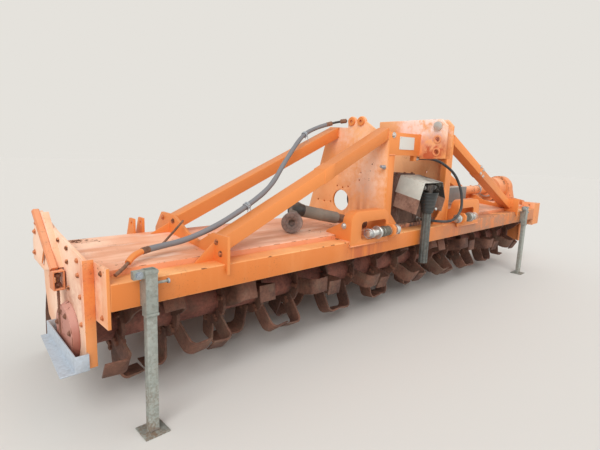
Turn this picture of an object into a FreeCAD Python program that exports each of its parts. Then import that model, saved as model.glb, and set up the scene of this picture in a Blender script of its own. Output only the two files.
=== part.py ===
import FreeCAD, Part
import math
import os
import Sketcher

# Rotary tiller, four metres wide, for a three-point linkage. Millimetres.
# X runs along the machine's width, -Y is the tractor side, Z is up.
# The origin lies on the floor under the middle of the machine's box.

doc = FreeCAD.newDocument("RotaryTiller")
sheet = doc.addObject("Spreadsheet::Sheet", "Sizes")

# Driving dimensions: alias, value in millimetres or degrees.
DIMENSIONS = [
    # front beam: a square tube that carries everything else
    ("beam_length", 4060.0),
    ("beam_side", 100.0),
    ("beam_wall", 8.0),
    ("beam_under", 487.0),
    ("cap_thick", 12.0),
    ("cap_depth", 118.0),
    ("cap_low", 425.0),
    ("cap_top", 645.0),
    ("cap_hole_back", 50.0),
    ("cap_hole_low", 455.0),
    ("cap_hole_high", 617.0),
    ("cap_hole_radius", 7.0),
    # end plates of the rotor chamber
    ("end_gap", 45.0),
    ("end_thick", 12.0),
    ("end_front", 118.0),
    ("end_low", 245.0),
    ("end_front_top", 655.0),
    ("end_knee_back", 450.0),
    ("end_knee_top", 705.0),
    ("end_peak_back", 690.0),
    ("end_peak_top", 762.0),
    ("end_rear_back", 640.0),
    ("end_rear_low", 300.0),
    ("end_toe_back", 530.0),
    ("end_notch_back", 30.0),
    ("end_notch_rise", 110.0),
    ("end_peak_drop", 90.0),
    ("end_hole_play", 12.0),
    ("seat_gap", 0.3),
    ("window_front", 410.0),
    ("window_back", 510.0),
    ("window_low", 470.0),
    ("window_top", 530.0),
    ("edge_bar_width", 28.0),
    ("edge_bar_thick", 6.0),
    ("leaf_rise", 25.0),
    ("leaf_thick", 6.0),
    # hood over the rotor
    ("deck_thick", 8.0),
    ("deck_front_top", 610.0),
    ("deck_crest_back", 530.0),
    ("deck_crest_top", 648.0),
    ("deck_tail_back", 790.0),
    ("deck_tail_top", 520.0),
    ("deck_lip_back", 8.0),
    ("deck_lip_drop", 10.0),
    ("deck_crest_shift", 2.0),
    ("ear_outer", 1690.0),
    ("ear_inner", 620.0),
    ("ear_gap", 44.0),
    ("ear_thick", 10.0),
    ("ear_back", 545.0),
    ("ear_foot", 100.0),
    ("ear_hole_inset", 25.0),
    ("ear_top", 714.0),
    ("ear_hole_radius", 9.0),
    # rotor
    ("rotor_back", 315.0),
    ("rotor_height", 330.0),
    ("rotor_tube_radius", 76.0),
    ("rotor_tube_wall", 10.0),
    ("rotor_end_gap", 21.0),
    ("journal_plug", 20.0),
    ("journal_radius", 30.0),
    ("swing_radius", 250.0),
    ("flange_radius", 128.0),
    ("flange_thick", 14.0),
    ("flange_inset", 94.0),
    ("flange_count", 17.0),
    ("flange_turn", 67.5),
    ("blades_per_flange", 6.0),
    ("blade_thick", 10.0),
    ("blade_width", 76.0),
    ("blade_reach", 105.0),
    ("blade_bend_radius", 36.0),
    ("blade_droop", 8.0),
    ("blade_sweep", 26.0),
    ("blade_belly", 12.0),
    ("blade_root_gap", 6.0),
    # levelling board behind the rotor
    ("board_thick", 8.0),
    ("board_hinge_back", 806.0),
    ("board_hinge_height", 492.0),
    ("board_hinge_radius", 12.0),
    ("knuckle_radius", 20.0),
    ("knuckle_width", 60.0),
    ("knuckle_play", 0.05),
    ("knuckle_count", 5.0),
    ("knuckle_inset", 180.0),
    ("knuckle_clear", 6.0),
    ("board_knee_back", 900.0),
    ("board_knee_height", 215.0),
    ("board_foot_back", 925.0),
    # parking stands
    ("stand_left_inset", 126.0),
    ("stand_right_inset", 335.0),
    ("stand_gap", 14.0),
    ("sleeve_width", 45.0),
    ("sleeve_depth", 38.0),
    ("sleeve_wall", 3.0),
    ("sleeve_low", 458.0),
    ("sleeve_top", 632.0),
    ("leg_play", 0.3),
    ("leg_short", 12.0),
    ("block_margin", 5.0),
    ("foot_side", 96.0),
    ("foot_thick", 6.0),
    ("clamp_length", 40.0),
    ("clamp_depth", 24.0),
    ("clamp_tall", 30.0),
    ("handle_radius", 5.0),
    ("handle_length", 46.0),
    ("handle_drop", 56.0),
    # headstock
    ("head_half", 395.0),
    ("head_plate_thick", 15.0),
    ("head_front", 55.0),
    ("head_back", 530.0),
    ("head_back_low", 730.0),
    ("head_top", 1205.0),
    ("head_rear_top", 1225.0),
    ("post_width", 62.0),
    ("cross_low", 1058.0),
    ("cross_top", 1192.0),
    ("cross_depth", 180.0),
    ("porthole_radius", 68.0),
    ("plate_hole_radius", 6.5),
    ("cross_tuck", 20.0),
    ("port_side", -100.0),
    ("port_width", 30.0),
    ("port_back", 60.0),
    ("port_low", 1024.0),
    ("top_lug_front", 160.0),
    ("top_lug_rise", 51.0),
    ("top_eye_front", 266.0),
    ("top_eye_rear", 340.0),
    ("top_eye_rim", 31.0),
    ("top_eye_hole", 9.0),
    # top link mast
    ("mast_gap", 56.0),
    ("mast_thick", 18.0),
    ("mast_front", -120.0),
    ("mast_back", 385.0),
    ("mast_top", 1288.0),
    ("mast_rear_top", 1278.0),
    ("mast_low", 1048.0),
    ("mast_corner", 40.0),
    ("top_pin_radius", 16.0),
    ("top_pin_play", 0.05),
    ("top_pin_forward", 62.0),
    ("top_pin_high", 1245.0),
    ("top_pin_middle", 1164.0),
    ("top_pin_bottom", 1087.0),
    ("top_pin_half", 86.0),
    ("top_pin_head_radius", 27.0),
    ("top_pin_head", 12.0),
    ("top_pin_head_gap", 3.0),
    # lower hitch
    ("hitch_half_span", 505.0),
    ("hitch_pin_forward", 32.0),
    ("hitch_pin_height", 625.0),
    ("hitch_pin_radius", 18.3),
    ("hitch_pin_play", 0.05),
    ("frame_inner", 75.0),
    ("frame_outer", 265.0),
    ("frame_thick", 10.0),
    ("frame_below_pin", 65.0),
    ("frame_top", 750.0),
    ("frame_corner", 60.0),
    ("frame_window_inner", 53.0),
    ("frame_window_outer", 175.0),
    ("frame_window_low", 585.0),
    ("frame_window_top", 690.0),
    ("frame_window_corner", 24.0),
    ("frame_side_thick", 12.0),
    ("frame_side_top", 50.0),
    ("frame_side_back", 170.0),
    ("frame_side_low", 628.0),
    ("cheek_thick", 20.0),
    ("cheek_half", 38.0),
    ("pin_inner", 145.0),
    ("pin_outer", 149.0),
    ("collar_radius", 32.0),
    ("collar_thick", 14.0),
    ("collar_start", 44.0),
    ("ball_radius", 28.0),
    ("ball_outer", 40.0),
    ("nut_radius", 30.0),
    ("nut_thick", 24.0),
    ("nut_start", 127.0),
    ("post_gusset_reach", 118.0),
    ("post_gusset_top", 700.0),
    ("post_gusset_thick", 12.0),
    # braces
    ("brace_tall", 62.0),
    ("brace_deep", 80.0),
    ("brace_rear_face", 446.0),
    ("brace_front_top", 1181.0),
    ("brace_rear_top", 1189.0),
    ("brace_foot_inset", 480.0),
    ("brace_front_foot", 647.0),
    ("brace_rear_foot", 692.0),
    ("foot_rib_thick", 14.0),
    ("rib_tongue_front", 18.0),
    ("rib_tongue_low", 545.0),
    ("rib_front_top", 705.0),
    ("rib_valley_back", 210.0),
    ("rib_valley_top", 648.0),
    ("rib_rear_top", 736.0),
    ("rib_rear_back", 570.0),
    ("rib_tail_back", 640.0),
    ("rib_room", 8.0),
    ("gusset_thick", 8.0),
    ("gusset_reach", 93.0),
    ("gusset_front_back", 82.0),
    ("gusset_front_top", 668.0),
    ("gusset_rear_back", 490.0),
    ("gusset_rear_top", 691.0),
    ("brace_pad_thick", 8.0),
    ("brace_pad_margin", 22.0),
    ("brace_joint_x", 890.0),
    ("brace_joint_length", 70.0),
    ("brace_joint_rise", 3.0),
    # gearbox and lateral drive
    ("input_height", 862.0),
    ("input_radius", 24.0),
    ("input_side", -50.0),
    ("drive_back", 403.0),
    ("drive_height", 753.0),
    ("box_half", 160.0),
    ("box_front", 120.0),
    ("box_depth", 330.0),
    ("box_top", 925.0),
    ("box_front_corner", 30.0),
    ("box_back_corner", 40.0),
    ("cover_inset", 50.0),
    ("cover_length", 220.0),
    ("cover_half", 110.0),
    ("cover_thick", 12.0),
    ("bearing_cover_radius", 56.0),
    ("bearing_cover_length", 40.0),
    ("output_radius", 95.0),
    ("output_length", 140.0),
    ("blank_length", 60.0),
    ("shield_foot_half", 158.0),
    ("shield_side", -35.0),
    ("shield_top_half", 110.0),
    ("shield_low", 828.0),
    ("shield_top", 934.0),
    ("shield_thick", 4.0),
    ("shield_length", 185.0),
    ("shield_slope", 12.0),
    ("shield_foot_wall", 4.8),
    ("shield_top_wall", 2.4),
    ("lateral_radius", 40.0),
    ("case_width", 100.0),
    ("case_top_radius", 125.0),
    ("case_low_radius", 150.0),
    ("shoe_thick", 8.0),
    ("shoe_rise", 60.0),
    ("shoe_room", 600.0),
    ("case_plate_low", 430.0),
    ("case_plate_top", 635.0),
    ("case_plate_thick", 12.0),
    ("hub_guard_radius", 112.0),
    ("hub_guard_length", 190.0),
    ("bellows_radius", 72.0),
    ("bellows_length", 70.0),
    ("cover_front", 335.0),
    ("cover_back", 444.0),
    ("cover_low", 672.0),
    ("cover_top", 798.0),
    ("cover_wall", 4.0),
    ("cover_end", 1250.0),
    # drive shaft half that hangs from the gearbox
    ("joint_forward", 36.0),
    ("fork_half", 38.0),
    ("fork_thick", 13.0),
    ("fork_ear", 17.0),
    ("fork_reach", 46.0),
    ("fork_web", 12.0),
    ("block_low", 20.0),
    ("tube_overlap", 30.0),
    ("cross_radius", 9.0),
    ("cross_play", 0.05),
    ("block_half", 18.0),
    ("cone_top_radius", 62.0),
    ("cone_low_radius", 36.0),
    ("cone_length", 130.0),
    ("cone_rim_drop", 30.0),
    ("cone_wall", 4.0),
    ("tube_radius", 27.0),
    ("tube_drop", 490.0),
    ("hose_radius", 12.5),
    ("loop_radius", 9.0),
    ("run_share", 0.45),
    ("loose_bell_radius", 46.0),
    ("loose_hub_radius", 57.0),
    ("loose_yoke_radius", 26.0),
    ("loose_tube_radius", 34.0),
    # skids under the end plates and the bearing's guard
    ("skid_rim", 310.0),
    ("skid_front_width", 50.0),
    ("skid_rear_width", 36.0),
    ("skid_wall", 6.0),
    ("skid_flare", 50.0),
    ("skid_lead", 15.0),
    ("bearing_radius", 78.0),
    ("bearing_length", 30.0),
    ("bearing_play", 0.05),
    ("journal_end_gap", 5.0),
    ("guard_radius", 118.0),
    ("guard_top_radius", 104.0),
    ("guard_rise", 26.0),
]
# Sizes that follow from the driving ones: alias, formula.
DERIVED = [
    ("end_outer", "=beam_length / 2 + end_gap"),
    ("end_inner", "=end_outer - end_thick"),
    ("rotor_half_length", "=end_inner - bearing_length - rotor_end_gap"),
    ("flange_first", "=rotor_half_length - flange_inset"),
    ("board_half_length", "=beam_length / 2"),
    ("knuckle_reach", "=board_half_length - knuckle_inset"),
    ("stand_left", "=beam_length / 2 - stand_left_inset"),
    ("stand_right", "=beam_length / 2 - stand_right_inset"),
    ("brace_foot_x", "=beam_length / 2 - brace_foot_inset"),
    ("beam_top", "=beam_under + beam_side"),
    ("front_face", "=-(board_foot_back + board_thick + mast_front) / 2"),
    ("frame_low", "=hitch_pin_height - frame_below_pin"),
]
for row, (alias, value) in enumerate(DIMENSIONS + DERIVED, start=1):
    sheet.set(f"A{row}", alias)
    sheet.set(f"B{row}", str(value))
    sheet.setAlias(f"B{row}", alias)
doc.recompute()


def size(alias):
    """Value of one driving dimension."""
    return float(sheet.get(alias))


def bind(obj, prop, text):
    """Bind a property to an expression; @name stands for a driving dimension."""
    obj.setExpression(prop, text.replace("@", "Sizes."))


def at(obj, x, y, z):
    """Bind an object's place to three expressions."""
    bind(obj, "Placement.Base.x", x)
    bind(obj, "Placement.Base.y", y)
    bind(obj, "Placement.Base.z", z)


def box(name, length, width, height, x, y, z):
    """Box with its lowest corner at x, y, z."""
    obj = doc.addObject("Part::Box", name)
    bind(obj, "Length", length)
    bind(obj, "Width", width)
    bind(obj, "Height", height)
    at(obj, x, y, z)
    return obj


TURN = {
    "X": FreeCAD.Rotation(FreeCAD.Vector(0, 1, 0), 90),
    "Y": FreeCAD.Rotation(FreeCAD.Vector(1, 0, 0), -90),
    "Z": FreeCAD.Rotation(),
}


def cylinder(name, radius, height, axis, x, y, z):
    """Cylinder that runs from x, y, z along +axis."""
    obj = doc.addObject("Part::Cylinder", name)
    bind(obj, "Radius", radius)
    bind(obj, "Height", height)
    obj.Placement = FreeCAD.Placement(FreeCAD.Vector(), TURN[axis])
    at(obj, x, y, z)
    return obj


# A sketch plane's turn: its x and y run along the two named axes.
PLANE = {
    "YZ": FreeCAD.Rotation(FreeCAD.Vector(1, 1, 1), 120),
    "XZ": FreeCAD.Rotation(FreeCAD.Vector(1, 0, 0), 90),
    "XY": FreeCAD.Rotation(),
}


def outline(name, plane, corners):
    """Closed sketch whose corners are pairs of expressions."""
    sketch = doc.addObject("Sketcher::SketchObject", name + "Outline")
    sketch.Placement = FreeCAD.Placement(FreeCAD.Vector(), PLANE[plane])
    values = [(worth(u), worth(v)) for u, v in corners]
    count = len(corners)
    for index, (u, v) in enumerate(values):
        u_next, v_next = values[(index + 1) % count]
        line = Part.LineSegment(FreeCAD.Vector(u, v, 0), FreeCAD.Vector(u_next, v_next, 0))
        sketch.addGeometry(line, False)
    for index in range(count):
        sketch.addConstraint(Sketcher.Constraint("Coincident", index, 2, (index + 1) % count, 1))
    for index, (u, v) in enumerate(corners):
        for kind, text, value in (("DistanceX", u, values[index][0]), ("DistanceY", v, values[index][1])):
            place = sketch.addConstraint(Sketcher.Constraint(kind, -1, 1, index, 1, value))
            bind(sketch, f"Constraints[{place}]", text)
    return sketch


def worth(text):
    """Present value of an expression of driving dimensions."""
    return float(sheet.evalExpression(text.replace("@", "Sizes.")))


def plate(name, plane, corners, thick, start):
    """Flat piece: an outline carried along the plane's normal from start to start + thick."""
    sketch = outline(name, plane, corners)
    normal = {"YZ": "x", "XZ": "y", "XY": "z"}[plane]
    bind(sketch, f"Placement.Base.{normal}", start)
    solid = doc.addObject("Part::Extrusion", name)
    solid.Base = sketch
    solid.DirMode = "Custom"
    solid.Dir = FreeCAD.Vector(*[float(normal == word) for word in "xyz"])
    solid.Solid = True
    bind(solid, "LengthFwd", thick)
    return solid


def cut(name, base, *tools):
    """Base with the tools taken away."""
    tool = tools[0] if len(tools) == 1 else fuse(name + "Tools", *tools)
    obj = doc.addObject("Part::Cut", name)
    obj.Base = base
    obj.Tool = tool
    return obj


def fuse(name, *parts):
    """Several solids joined to one shape."""
    obj = doc.addObject("Part::MultiFuse", name)
    obj.Shapes = list(parts)
    return obj


def gather(name, *parts):
    """Several solids that stay apart, in one sub-part."""
    obj = doc.addObject("Part::Compound", name)
    obj.Links = list(parts)
    return obj


def mirrored(name, source):
    """Mirror image of a piece across the machine's middle."""
    obj = doc.addObject("Part::Mirroring", name)
    obj.Source = source
    obj.Normal = FreeCAD.Vector(1, 0, 0)
    return obj


nodes = {}


def node(label, obj):
    """Give a finished sub-part its own label."""
    obj.Label = label
    nodes[label] = obj
    return obj


def deck_height(back):
    """Height of the hood's front slope at a distance behind the beam's face."""
    slope = "(@deck_crest_top - @deck_front_top) / (@deck_crest_back - @beam_side)"
    return f"@deck_front_top + ({back} - @beam_side) * {slope}"


def tail_height(back):
    """Height of the hood's rear slope at a distance behind the beam's face."""
    slope = "(@deck_crest_top - @deck_tail_top) / (@deck_tail_back - @deck_crest_back)"
    return f"@deck_crest_top - ({back} - @deck_crest_back) * {slope}"


def front_beam():
    """Square tube along the front and its end caps, the right one with the drive case's bracket."""
    outer = box("BeamOuter", "@beam_length", "@beam_side", "@beam_side",
                "-@beam_length / 2", "@front_face", "@beam_under")
    inner = box("BeamInner", "@beam_length", "@beam_side - 2 * @beam_wall", "@beam_side - 2 * @beam_wall",
                "-@beam_length / 2", "@front_face + @beam_wall", "@beam_under + @beam_wall")
    node("front_beam", cut("Beam", outer, inner))
    cap = box("CapRight", "@cap_thick", "@cap_depth", "@cap_top - @cap_low",
              "@beam_length / 2", "@front_face", "@cap_low")
    holes = [
        cylinder("CapHole" + word, "@cap_hole_radius", "@cap_thick", "X", "@beam_length / 2",
                 "@front_face + @cap_hole_back", "@cap_hole_" + word)
        for word in ("low", "high")
    ]
    right = cut("CapDrilled", cap, *holes)
    edge = "@beam_length / 2 + @cap_thick"
    outer = "(@end_outer + @case_width)"
    front = box("CasePlateFront", outer + " - (" + edge + ")", "@case_plate_thick",
                "@case_plate_top - @case_plate_low", edge, "@front_face", "@case_plate_low")
    side = plate("CasePlateSide", "YZ", [
        ("@front_face + @case_plate_thick", "@case_plate_low"),
        ("@front_face + @case_plate_thick", "@case_plate_top"),
        ("@front_face + " + case_front("@case_plate_top"), "@case_plate_top"),
        ("@front_face + " + case_front("@case_plate_low"), "@case_plate_low")],
        "@case_plate_thick", outer + " - @case_plate_thick")
    whole = fuse("CapWithBracket", right, front, side)
    node("beam_caps", gather("BeamCaps", whole, mirrored("CapLeft", right)))


def end_plates():
    """Side walls of the rotor chamber: front flange bent inwards, window, and a bar on the front edge."""
    face = "@front_face + "
    corners = [
        (face + "@end_front", "@end_low"),
        (face + "@end_toe_back", "@end_low"),
        (face + "@end_rear_back", "@end_rear_low"),
        (face + "@end_rear_back + @end_notch_back", "@end_rear_low + @end_notch_rise"),
        (face + "@end_peak_back", "@end_peak_top - @end_peak_drop"),
        (face + "@end_peak_back", "@end_peak_top"),
        (face + "@end_knee_back", "@end_knee_top"),
        (face + "@end_front", "@end_front_top"),
    ]
    wall = plate("EndWall", "YZ", corners, "@end_thick", "@end_inner")
    hole = cylinder("EndHole", "@journal_radius + @end_hole_play", "@end_thick", "X",
                    "@end_inner", face + "@rotor_back", "@rotor_height")
    window = box("EndWindow", "@end_thick", "@window_back - @window_front", "@window_top - @window_low",
                 "@end_inner", face + "@window_front", "@window_low")
    flange = box("EndFlange", "@end_inner - @beam_length / 2 - @cap_thick", "@end_thick",
                 "@end_front_top - @end_low", "@beam_length / 2 + @cap_thick", face + "@end_front", "@end_low")
    bar = box("EdgeBar", "@edge_bar_thick", "@edge_bar_width", "@end_front_top - @skid_rim - @seat_gap",
              "@end_outer", face + "@end_front", "@skid_rim + @seat_gap")
    right = fuse("EndRight", cut("EndWallBored", wall, hole, window), flange, bar)
    node("end_plate_right", right)
    node("end_plate_left", fuse("EndPlateLeft", mirrored("EndLeft", right), side_leaf()))


# Outlines in the side view: distance behind the beam's face, height.
LEAF_OUTLINE = [(362, 578), (536, 776), (656, 757), (726, 625), (731, 541), (560, 522)]
LEAF_SLOT = [(492, 640), (538, 652), (600, 545), (560, 535)]
LEAF_STRIP = [(362, 578), (536, 776), (545, 772), (371, 574)]


def side_leaf():
    """Adjustable leaf on the rear of the left end plate, held off it by a sloping front flange."""
    start = "@end_outer + @leaf_rise - @leaf_thick"
    leaf = plate("Leaf", "YZ", behind(LEAF_OUTLINE), "@leaf_thick", start)
    slot = plate("LeafSlot", "YZ", behind(LEAF_SLOT), "@leaf_thick", start)
    strip = plate("LeafStrip", "YZ", behind(LEAF_STRIP), "@leaf_rise", "@end_outer")
    return mirrored("LeafLeft", fuse("LeafWhole", cut("LeafSlotted", leaf, slot), strip))


def behind(table):
    """Expressions for a table of distances behind the beam's face and heights."""
    return [(f"@front_face + {back}", str(height)) for back, height in table]


def bearings():
    """Rotor bearings inside the end plates, and the domed guard outside the left one."""
    back = "@front_face + @rotor_back"
    inner = "@end_inner - @bearing_length"
    housing = cylinder("Housing", "@bearing_radius", "@bearing_length", "X", inner, back, "@rotor_height")
    bore = cylinder("HousingBore", "@journal_radius + @bearing_play", "@bearing_length", "X", inner, back,
                    "@rotor_height")
    right = cut("BearingRight", housing, bore)
    node("rotor_bearings", gather("Bearings", right, mirrored("BearingLeft", right)))
    dome = doc.addObject("Part::Cone", "GuardDome")
    bind(dome, "Radius1", "@guard_radius")
    bind(dome, "Radius2", "@guard_top_radius")
    bind(dome, "Height", "@guard_rise")
    dome.Placement = FreeCAD.Placement(FreeCAD.Vector(), TURN["X"])
    at(dome, "@end_outer", back, "@rotor_height")
    room = box("GuardRoom", "@guard_rise", "2 * @guard_radius", "2 * @guard_radius", "@end_outer",
               back + " - @guard_radius", "@end_low + @skid_wall + @seat_gap")
    low = doc.addObject("Part::Common", "GuardLow")
    low.Base = dome
    low.Tool = room
    node("bearing_guard_left", mirrored("GuardLeft", low))


def skids():
    """Shallow box skids outside the end plates, wider at the front, with a flared sole."""
    face = "@front_face + "
    front = face + "@end_front - @skid_lead"
    rear = face + "@end_toe_back"
    wall = "@skid_wall"
    outer = plate("SkidOuter", "XY", [
        ("@end_outer", front), ("@end_outer + @skid_front_width", front),
        ("@end_outer + @skid_rear_width", rear), ("@end_outer", rear)], "@skid_rim - @end_low", "@end_low")
    inner = plate("SkidInner", "XY", [
        ("@end_outer", front + " + " + wall),
        ("@end_outer + @skid_front_width - " + wall, front + " + " + wall),
        ("@end_outer + @skid_rear_width - " + wall, rear + " - " + wall),
        ("@end_outer", rear + " - " + wall)],
        "@skid_rim - @end_low - " + wall, "@end_low + " + wall)
    sole = plate("SkidSole", "XY", [
        ("@end_outer", front), ("@end_outer + @skid_front_width + @skid_flare", front),
        ("@end_outer + @skid_rear_width + @skid_flare / 2", rear), ("@end_outer", rear)], wall, "@end_low")
    left = fuse("Skid", cut("SkidTray", outer, inner), sole)
    node("skid_left", mirrored("SkidLeft", left))


# Places along the machine of the paired ears that carried the board's struts.
STRUT_PLACES = ("-@ear_outer", "-@ear_inner", "@ear_inner", "@ear_outer")


def deck():
    """Bent hood sheet over the rotor, from the beam to the board's hinge."""
    face = "@front_face + "
    thick = "@deck_thick"
    corners = [
        (face + "@beam_side", "@beam_under"),
        (face + "@beam_side", "@deck_front_top"),
        (face + "@deck_crest_back", "@deck_crest_top"),
        (face + "@deck_tail_back", "@deck_tail_top"),
        (face + "@deck_tail_back - @deck_lip_back", "@deck_tail_top - @deck_lip_drop"),
        (face + "@deck_crest_back - @deck_crest_shift", "@deck_crest_top - " + thick),
        (face + "@beam_side + " + thick, "@deck_front_top - " + thick),
        (face + "@beam_side + " + thick, "@beam_under"),
    ]
    inner = "@end_inner"
    whole = plate("Deck", "YZ", corners, "2 * " + inner, "-" + inner)
    edge = "(@beam_length / 2)"
    notches = [
        box("DeckNotch" + word, inner + " - " + edge, "@end_front + @end_thick - @beam_side",
            "@deck_crest_top - @beam_under", start, face + "@beam_side", "@beam_under")
        for word, start in (("Left", "-" + inner), ("Right", edge))
    ]
    node("hood_deck", cut("DeckNotched", whole, *notches))
    ears = []
    for index, place in enumerate(STRUT_PLACES):
        for side in (-1, 1):
            start = f"{place} + {side} * @ear_gap / 2 - @ear_thick / 2"
            ear = plate(f"Ear{index}{'LR'[side > 0]}", "YZ", [
                (face + "@ear_back", tail_height("@ear_back")),
                (face + "@ear_back + @ear_foot", tail_height("(@ear_back + @ear_foot)")),
                (face + "@ear_back + @ear_foot / 2", "@ear_top"),
                (face + "@ear_back", "@ear_top")], "@ear_thick", start)
            hole = cylinder(f"EarHole{index}{'LR'[side > 0]}", "@ear_hole_radius", "@ear_thick", "X", start,
                            face + "@ear_back + @ear_hole_inset", "@ear_top - @ear_hole_inset")
            ears.append(cut(f"EarBored{index}{'LR'[side > 0]}", ear, hole))
    node("board_strut_ears", gather("StrutEars", *ears))


def rotor():
    """Rotor tube with its journals, and the flanges with their blades."""
    back = "@front_face + @rotor_back"
    tube = cylinder("RotorTube", "@rotor_tube_radius", "2 * @rotor_half_length", "X",
                    "-@rotor_half_length", back, "@rotor_height")
    bore = cylinder("RotorBore", "@rotor_tube_radius - @rotor_tube_wall", "2 * @rotor_half_length", "X",
                    "-@rotor_half_length", back, "@rotor_height")
    start = "(@rotor_half_length - @journal_plug)"
    journal = cylinder("JournalRight", "@journal_radius", "@end_outer - @journal_end_gap - " + start, "X",
                       start, back, "@rotor_height")
    plug = cylinder("PlugRight", "@rotor_tube_radius - @rotor_tube_wall", "@journal_plug", "X",
                    start, back, "@rotor_height")
    stub = fuse("StubRight", journal, plug)
    pipe = cut("RotorPipe", tube, bore)
    node("rotor_shaft", fuse("RotorWhole", pipe, stub, mirrored("StubLeft", stub)))
    count = int(size("flange_count"))
    pitch = 2 * size("flange_first") / (count - 1)
    pattern = flange_with_blades()
    step = size("flange_turn")
    centre = FreeCAD.Vector(0, size("front_face") + size("rotor_back"), size("rotor_height"))
    made = []
    for index in range(count):
        unit = pattern.copy()
        unit.rotate(FreeCAD.Vector(), FreeCAD.Vector(1, 0, 0), index * step)
        unit.translate(centre + FreeCAD.Vector(index * pitch - size("flange_first"), 0, 0))
        made.append(unit)
    holder = doc.addObject("Part::Feature", "Blades")
    holder.Shape = Part.makeCompound(made)
    node("rotor_blades", holder)


def flange_with_blades():
    """One flange round the rotor's axis with its L blades, alternately bent to each side."""
    half = size("flange_thick") / 2
    along = FreeCAD.Vector(1, 0, 0)
    start = FreeCAD.Vector(-half, 0, 0)
    ring = Part.makeCylinder(size("flange_radius"), 2 * half, start, along)
    ring = ring.cut(Part.makeCylinder(size("rotor_tube_radius"), 2 * half, start, along))
    blades = []
    count = int(size("blades_per_flange"))
    for turn in range(count):
        blade = blade_shape(half, 1 if turn % 2 else -1)
        blade.rotate(FreeCAD.Vector(), along, 360.0 * turn / count)
        blades.append(blade)
    return ring.fuse(blades).removeSplitter()


def blade_shape(start, side):
    """L blade: a shank on the flange's face, bent along the rotor, with swept curved edges."""
    thick = size("blade_thick")
    width = size("blade_width")
    bend = size("blade_bend_radius")
    tip = size("swing_radius")
    root = size("rotor_tube_radius") + size("blade_root_gap")
    low = tip - bend
    inner = bend - thick
    reach = size("blade_reach")
    droop = size("blade_droop")
    half_turn = 0.5 ** 0.5

    def place(x, radius):
        return FreeCAD.Vector(side * (start + x), 0, radius)

    knife = 0.7 * thick
    edges = [
        Part.LineSegment(place(0, root), place(0, low)),
        Part.Arc(place(0, low), place(bend - bend * half_turn, low + bend * half_turn), place(bend, tip)),
        Part.LineSegment(place(bend, tip), place(reach, tip - droop)),
        Part.LineSegment(place(reach, tip - droop), place(reach, tip - droop - knife)),
        Part.LineSegment(place(reach, tip - droop - knife), place(bend, tip - thick)),
        Part.Arc(place(bend, tip - thick), place(bend - inner * half_turn, low + inner * half_turn),
                 place(thick, low)),
        Part.LineSegment(place(thick, low), place(thick, root)),
        Part.LineSegment(place(thick, root), place(0, root)),
    ]
    profile = Part.Face(Part.Wire([edge.toShape() for edge in edges]))
    room = width + size("blade_sweep") + size("blade_belly")
    profile.translate(FreeCAD.Vector(0, -room, 0))
    bar = profile.extrude(FreeCAD.Vector(0, 2 * room, 0))
    sweep = size("blade_sweep")
    belly = size("blade_belly")
    middle = (root + tip) / 2
    over = tip + thick
    left = Part.Arc(FreeCAD.Vector(0, -width / 2, root - thick),
                    FreeCAD.Vector(0, -width / 2 + belly - sweep / 2, middle),
                    FreeCAD.Vector(0, -width / 2 + sweep, over))
    right = Part.Arc(FreeCAD.Vector(0, width / 2 + sweep, over), FreeCAD.Vector(0, width / 2 + belly, middle),
                     FreeCAD.Vector(0, width / 2, root - thick))
    top = Part.LineSegment(left.EndPoint, right.StartPoint)
    foot = Part.LineSegment(right.EndPoint, left.StartPoint)
    side_view = Part.Face(Part.Wire([edge.toShape() for edge in (left, top, right, foot)]))
    length = start + reach + thick
    side_view.translate(FreeCAD.Vector(-length, 0, 0))
    return bar.common(side_view.extrude(FreeCAD.Vector(2 * length, 0, 0)))


def levelling_board():
    """Hinged board behind the rotor, its foot on the ground."""
    face = "@front_face + "
    thick = "@board_thick"
    corners = [
        (face + "@board_hinge_back", "@board_hinge_height"),
        (face + "@board_knee_back", "@board_knee_height"),
        (face + "@board_foot_back", "0"),
        (face + "@board_foot_back + " + thick, "0"),
        (face + "@board_knee_back + " + thick, "@board_knee_height"),
        (face + "@board_hinge_back + " + thick, "@board_hinge_height"),
    ]
    whole = plate("BoardSheet", "YZ", corners, "2 * @board_half_length", "-@board_half_length")
    barrel = cylinder("BoardBarrel", "@board_hinge_radius", "2 * @board_half_length", "X",
                      "-@board_half_length", face + "@board_hinge_back", "@board_hinge_height")
    lugs = []
    notches = []
    count = int(size("knuckle_count"))
    for index in range(count):
        start = f"({index} * 2 * @knuckle_reach / ({count} - 1) - @knuckle_reach - @knuckle_width / 2)"
        place = (face + "@board_hinge_back", "@board_hinge_height")
        ring = cylinder(f"Knuckle{index}", "@knuckle_radius", "@knuckle_width", "X", start, *place)
        lug = plate(f"KnuckleLug{index}", "YZ", [
            (face + "@deck_tail_back - @deck_lip_back", "@deck_tail_top - @deck_lip_drop"),
            (face + "@board_hinge_back - @knuckle_radius", "@board_hinge_height"),
            (face + "@board_hinge_back", "@board_hinge_height + @knuckle_radius"),
            (face + "@deck_tail_back", "@deck_tail_top")], "@knuckle_width", start)
        bore = cylinder(f"KnuckleBore{index}", "@board_hinge_radius + @knuckle_play", "@knuckle_width", "X",
                        start, *place)
        lugs.append(cut(f"KnuckleWhole{index}", fuse(f"KnuckleSolid{index}", ring, lug), bore))
        notches.append(cylinder(f"Notch{index}", "@knuckle_radius + @knuckle_clear",
                                "@knuckle_width + 2 * @knuckle_clear", "X", start + " - @knuckle_clear", *place))
    node("board_knuckles", gather("Knuckles", *lugs))
    node("levelling_board", fuse("Board", cut("BoardNotched", whole, *notches), barrel))


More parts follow.
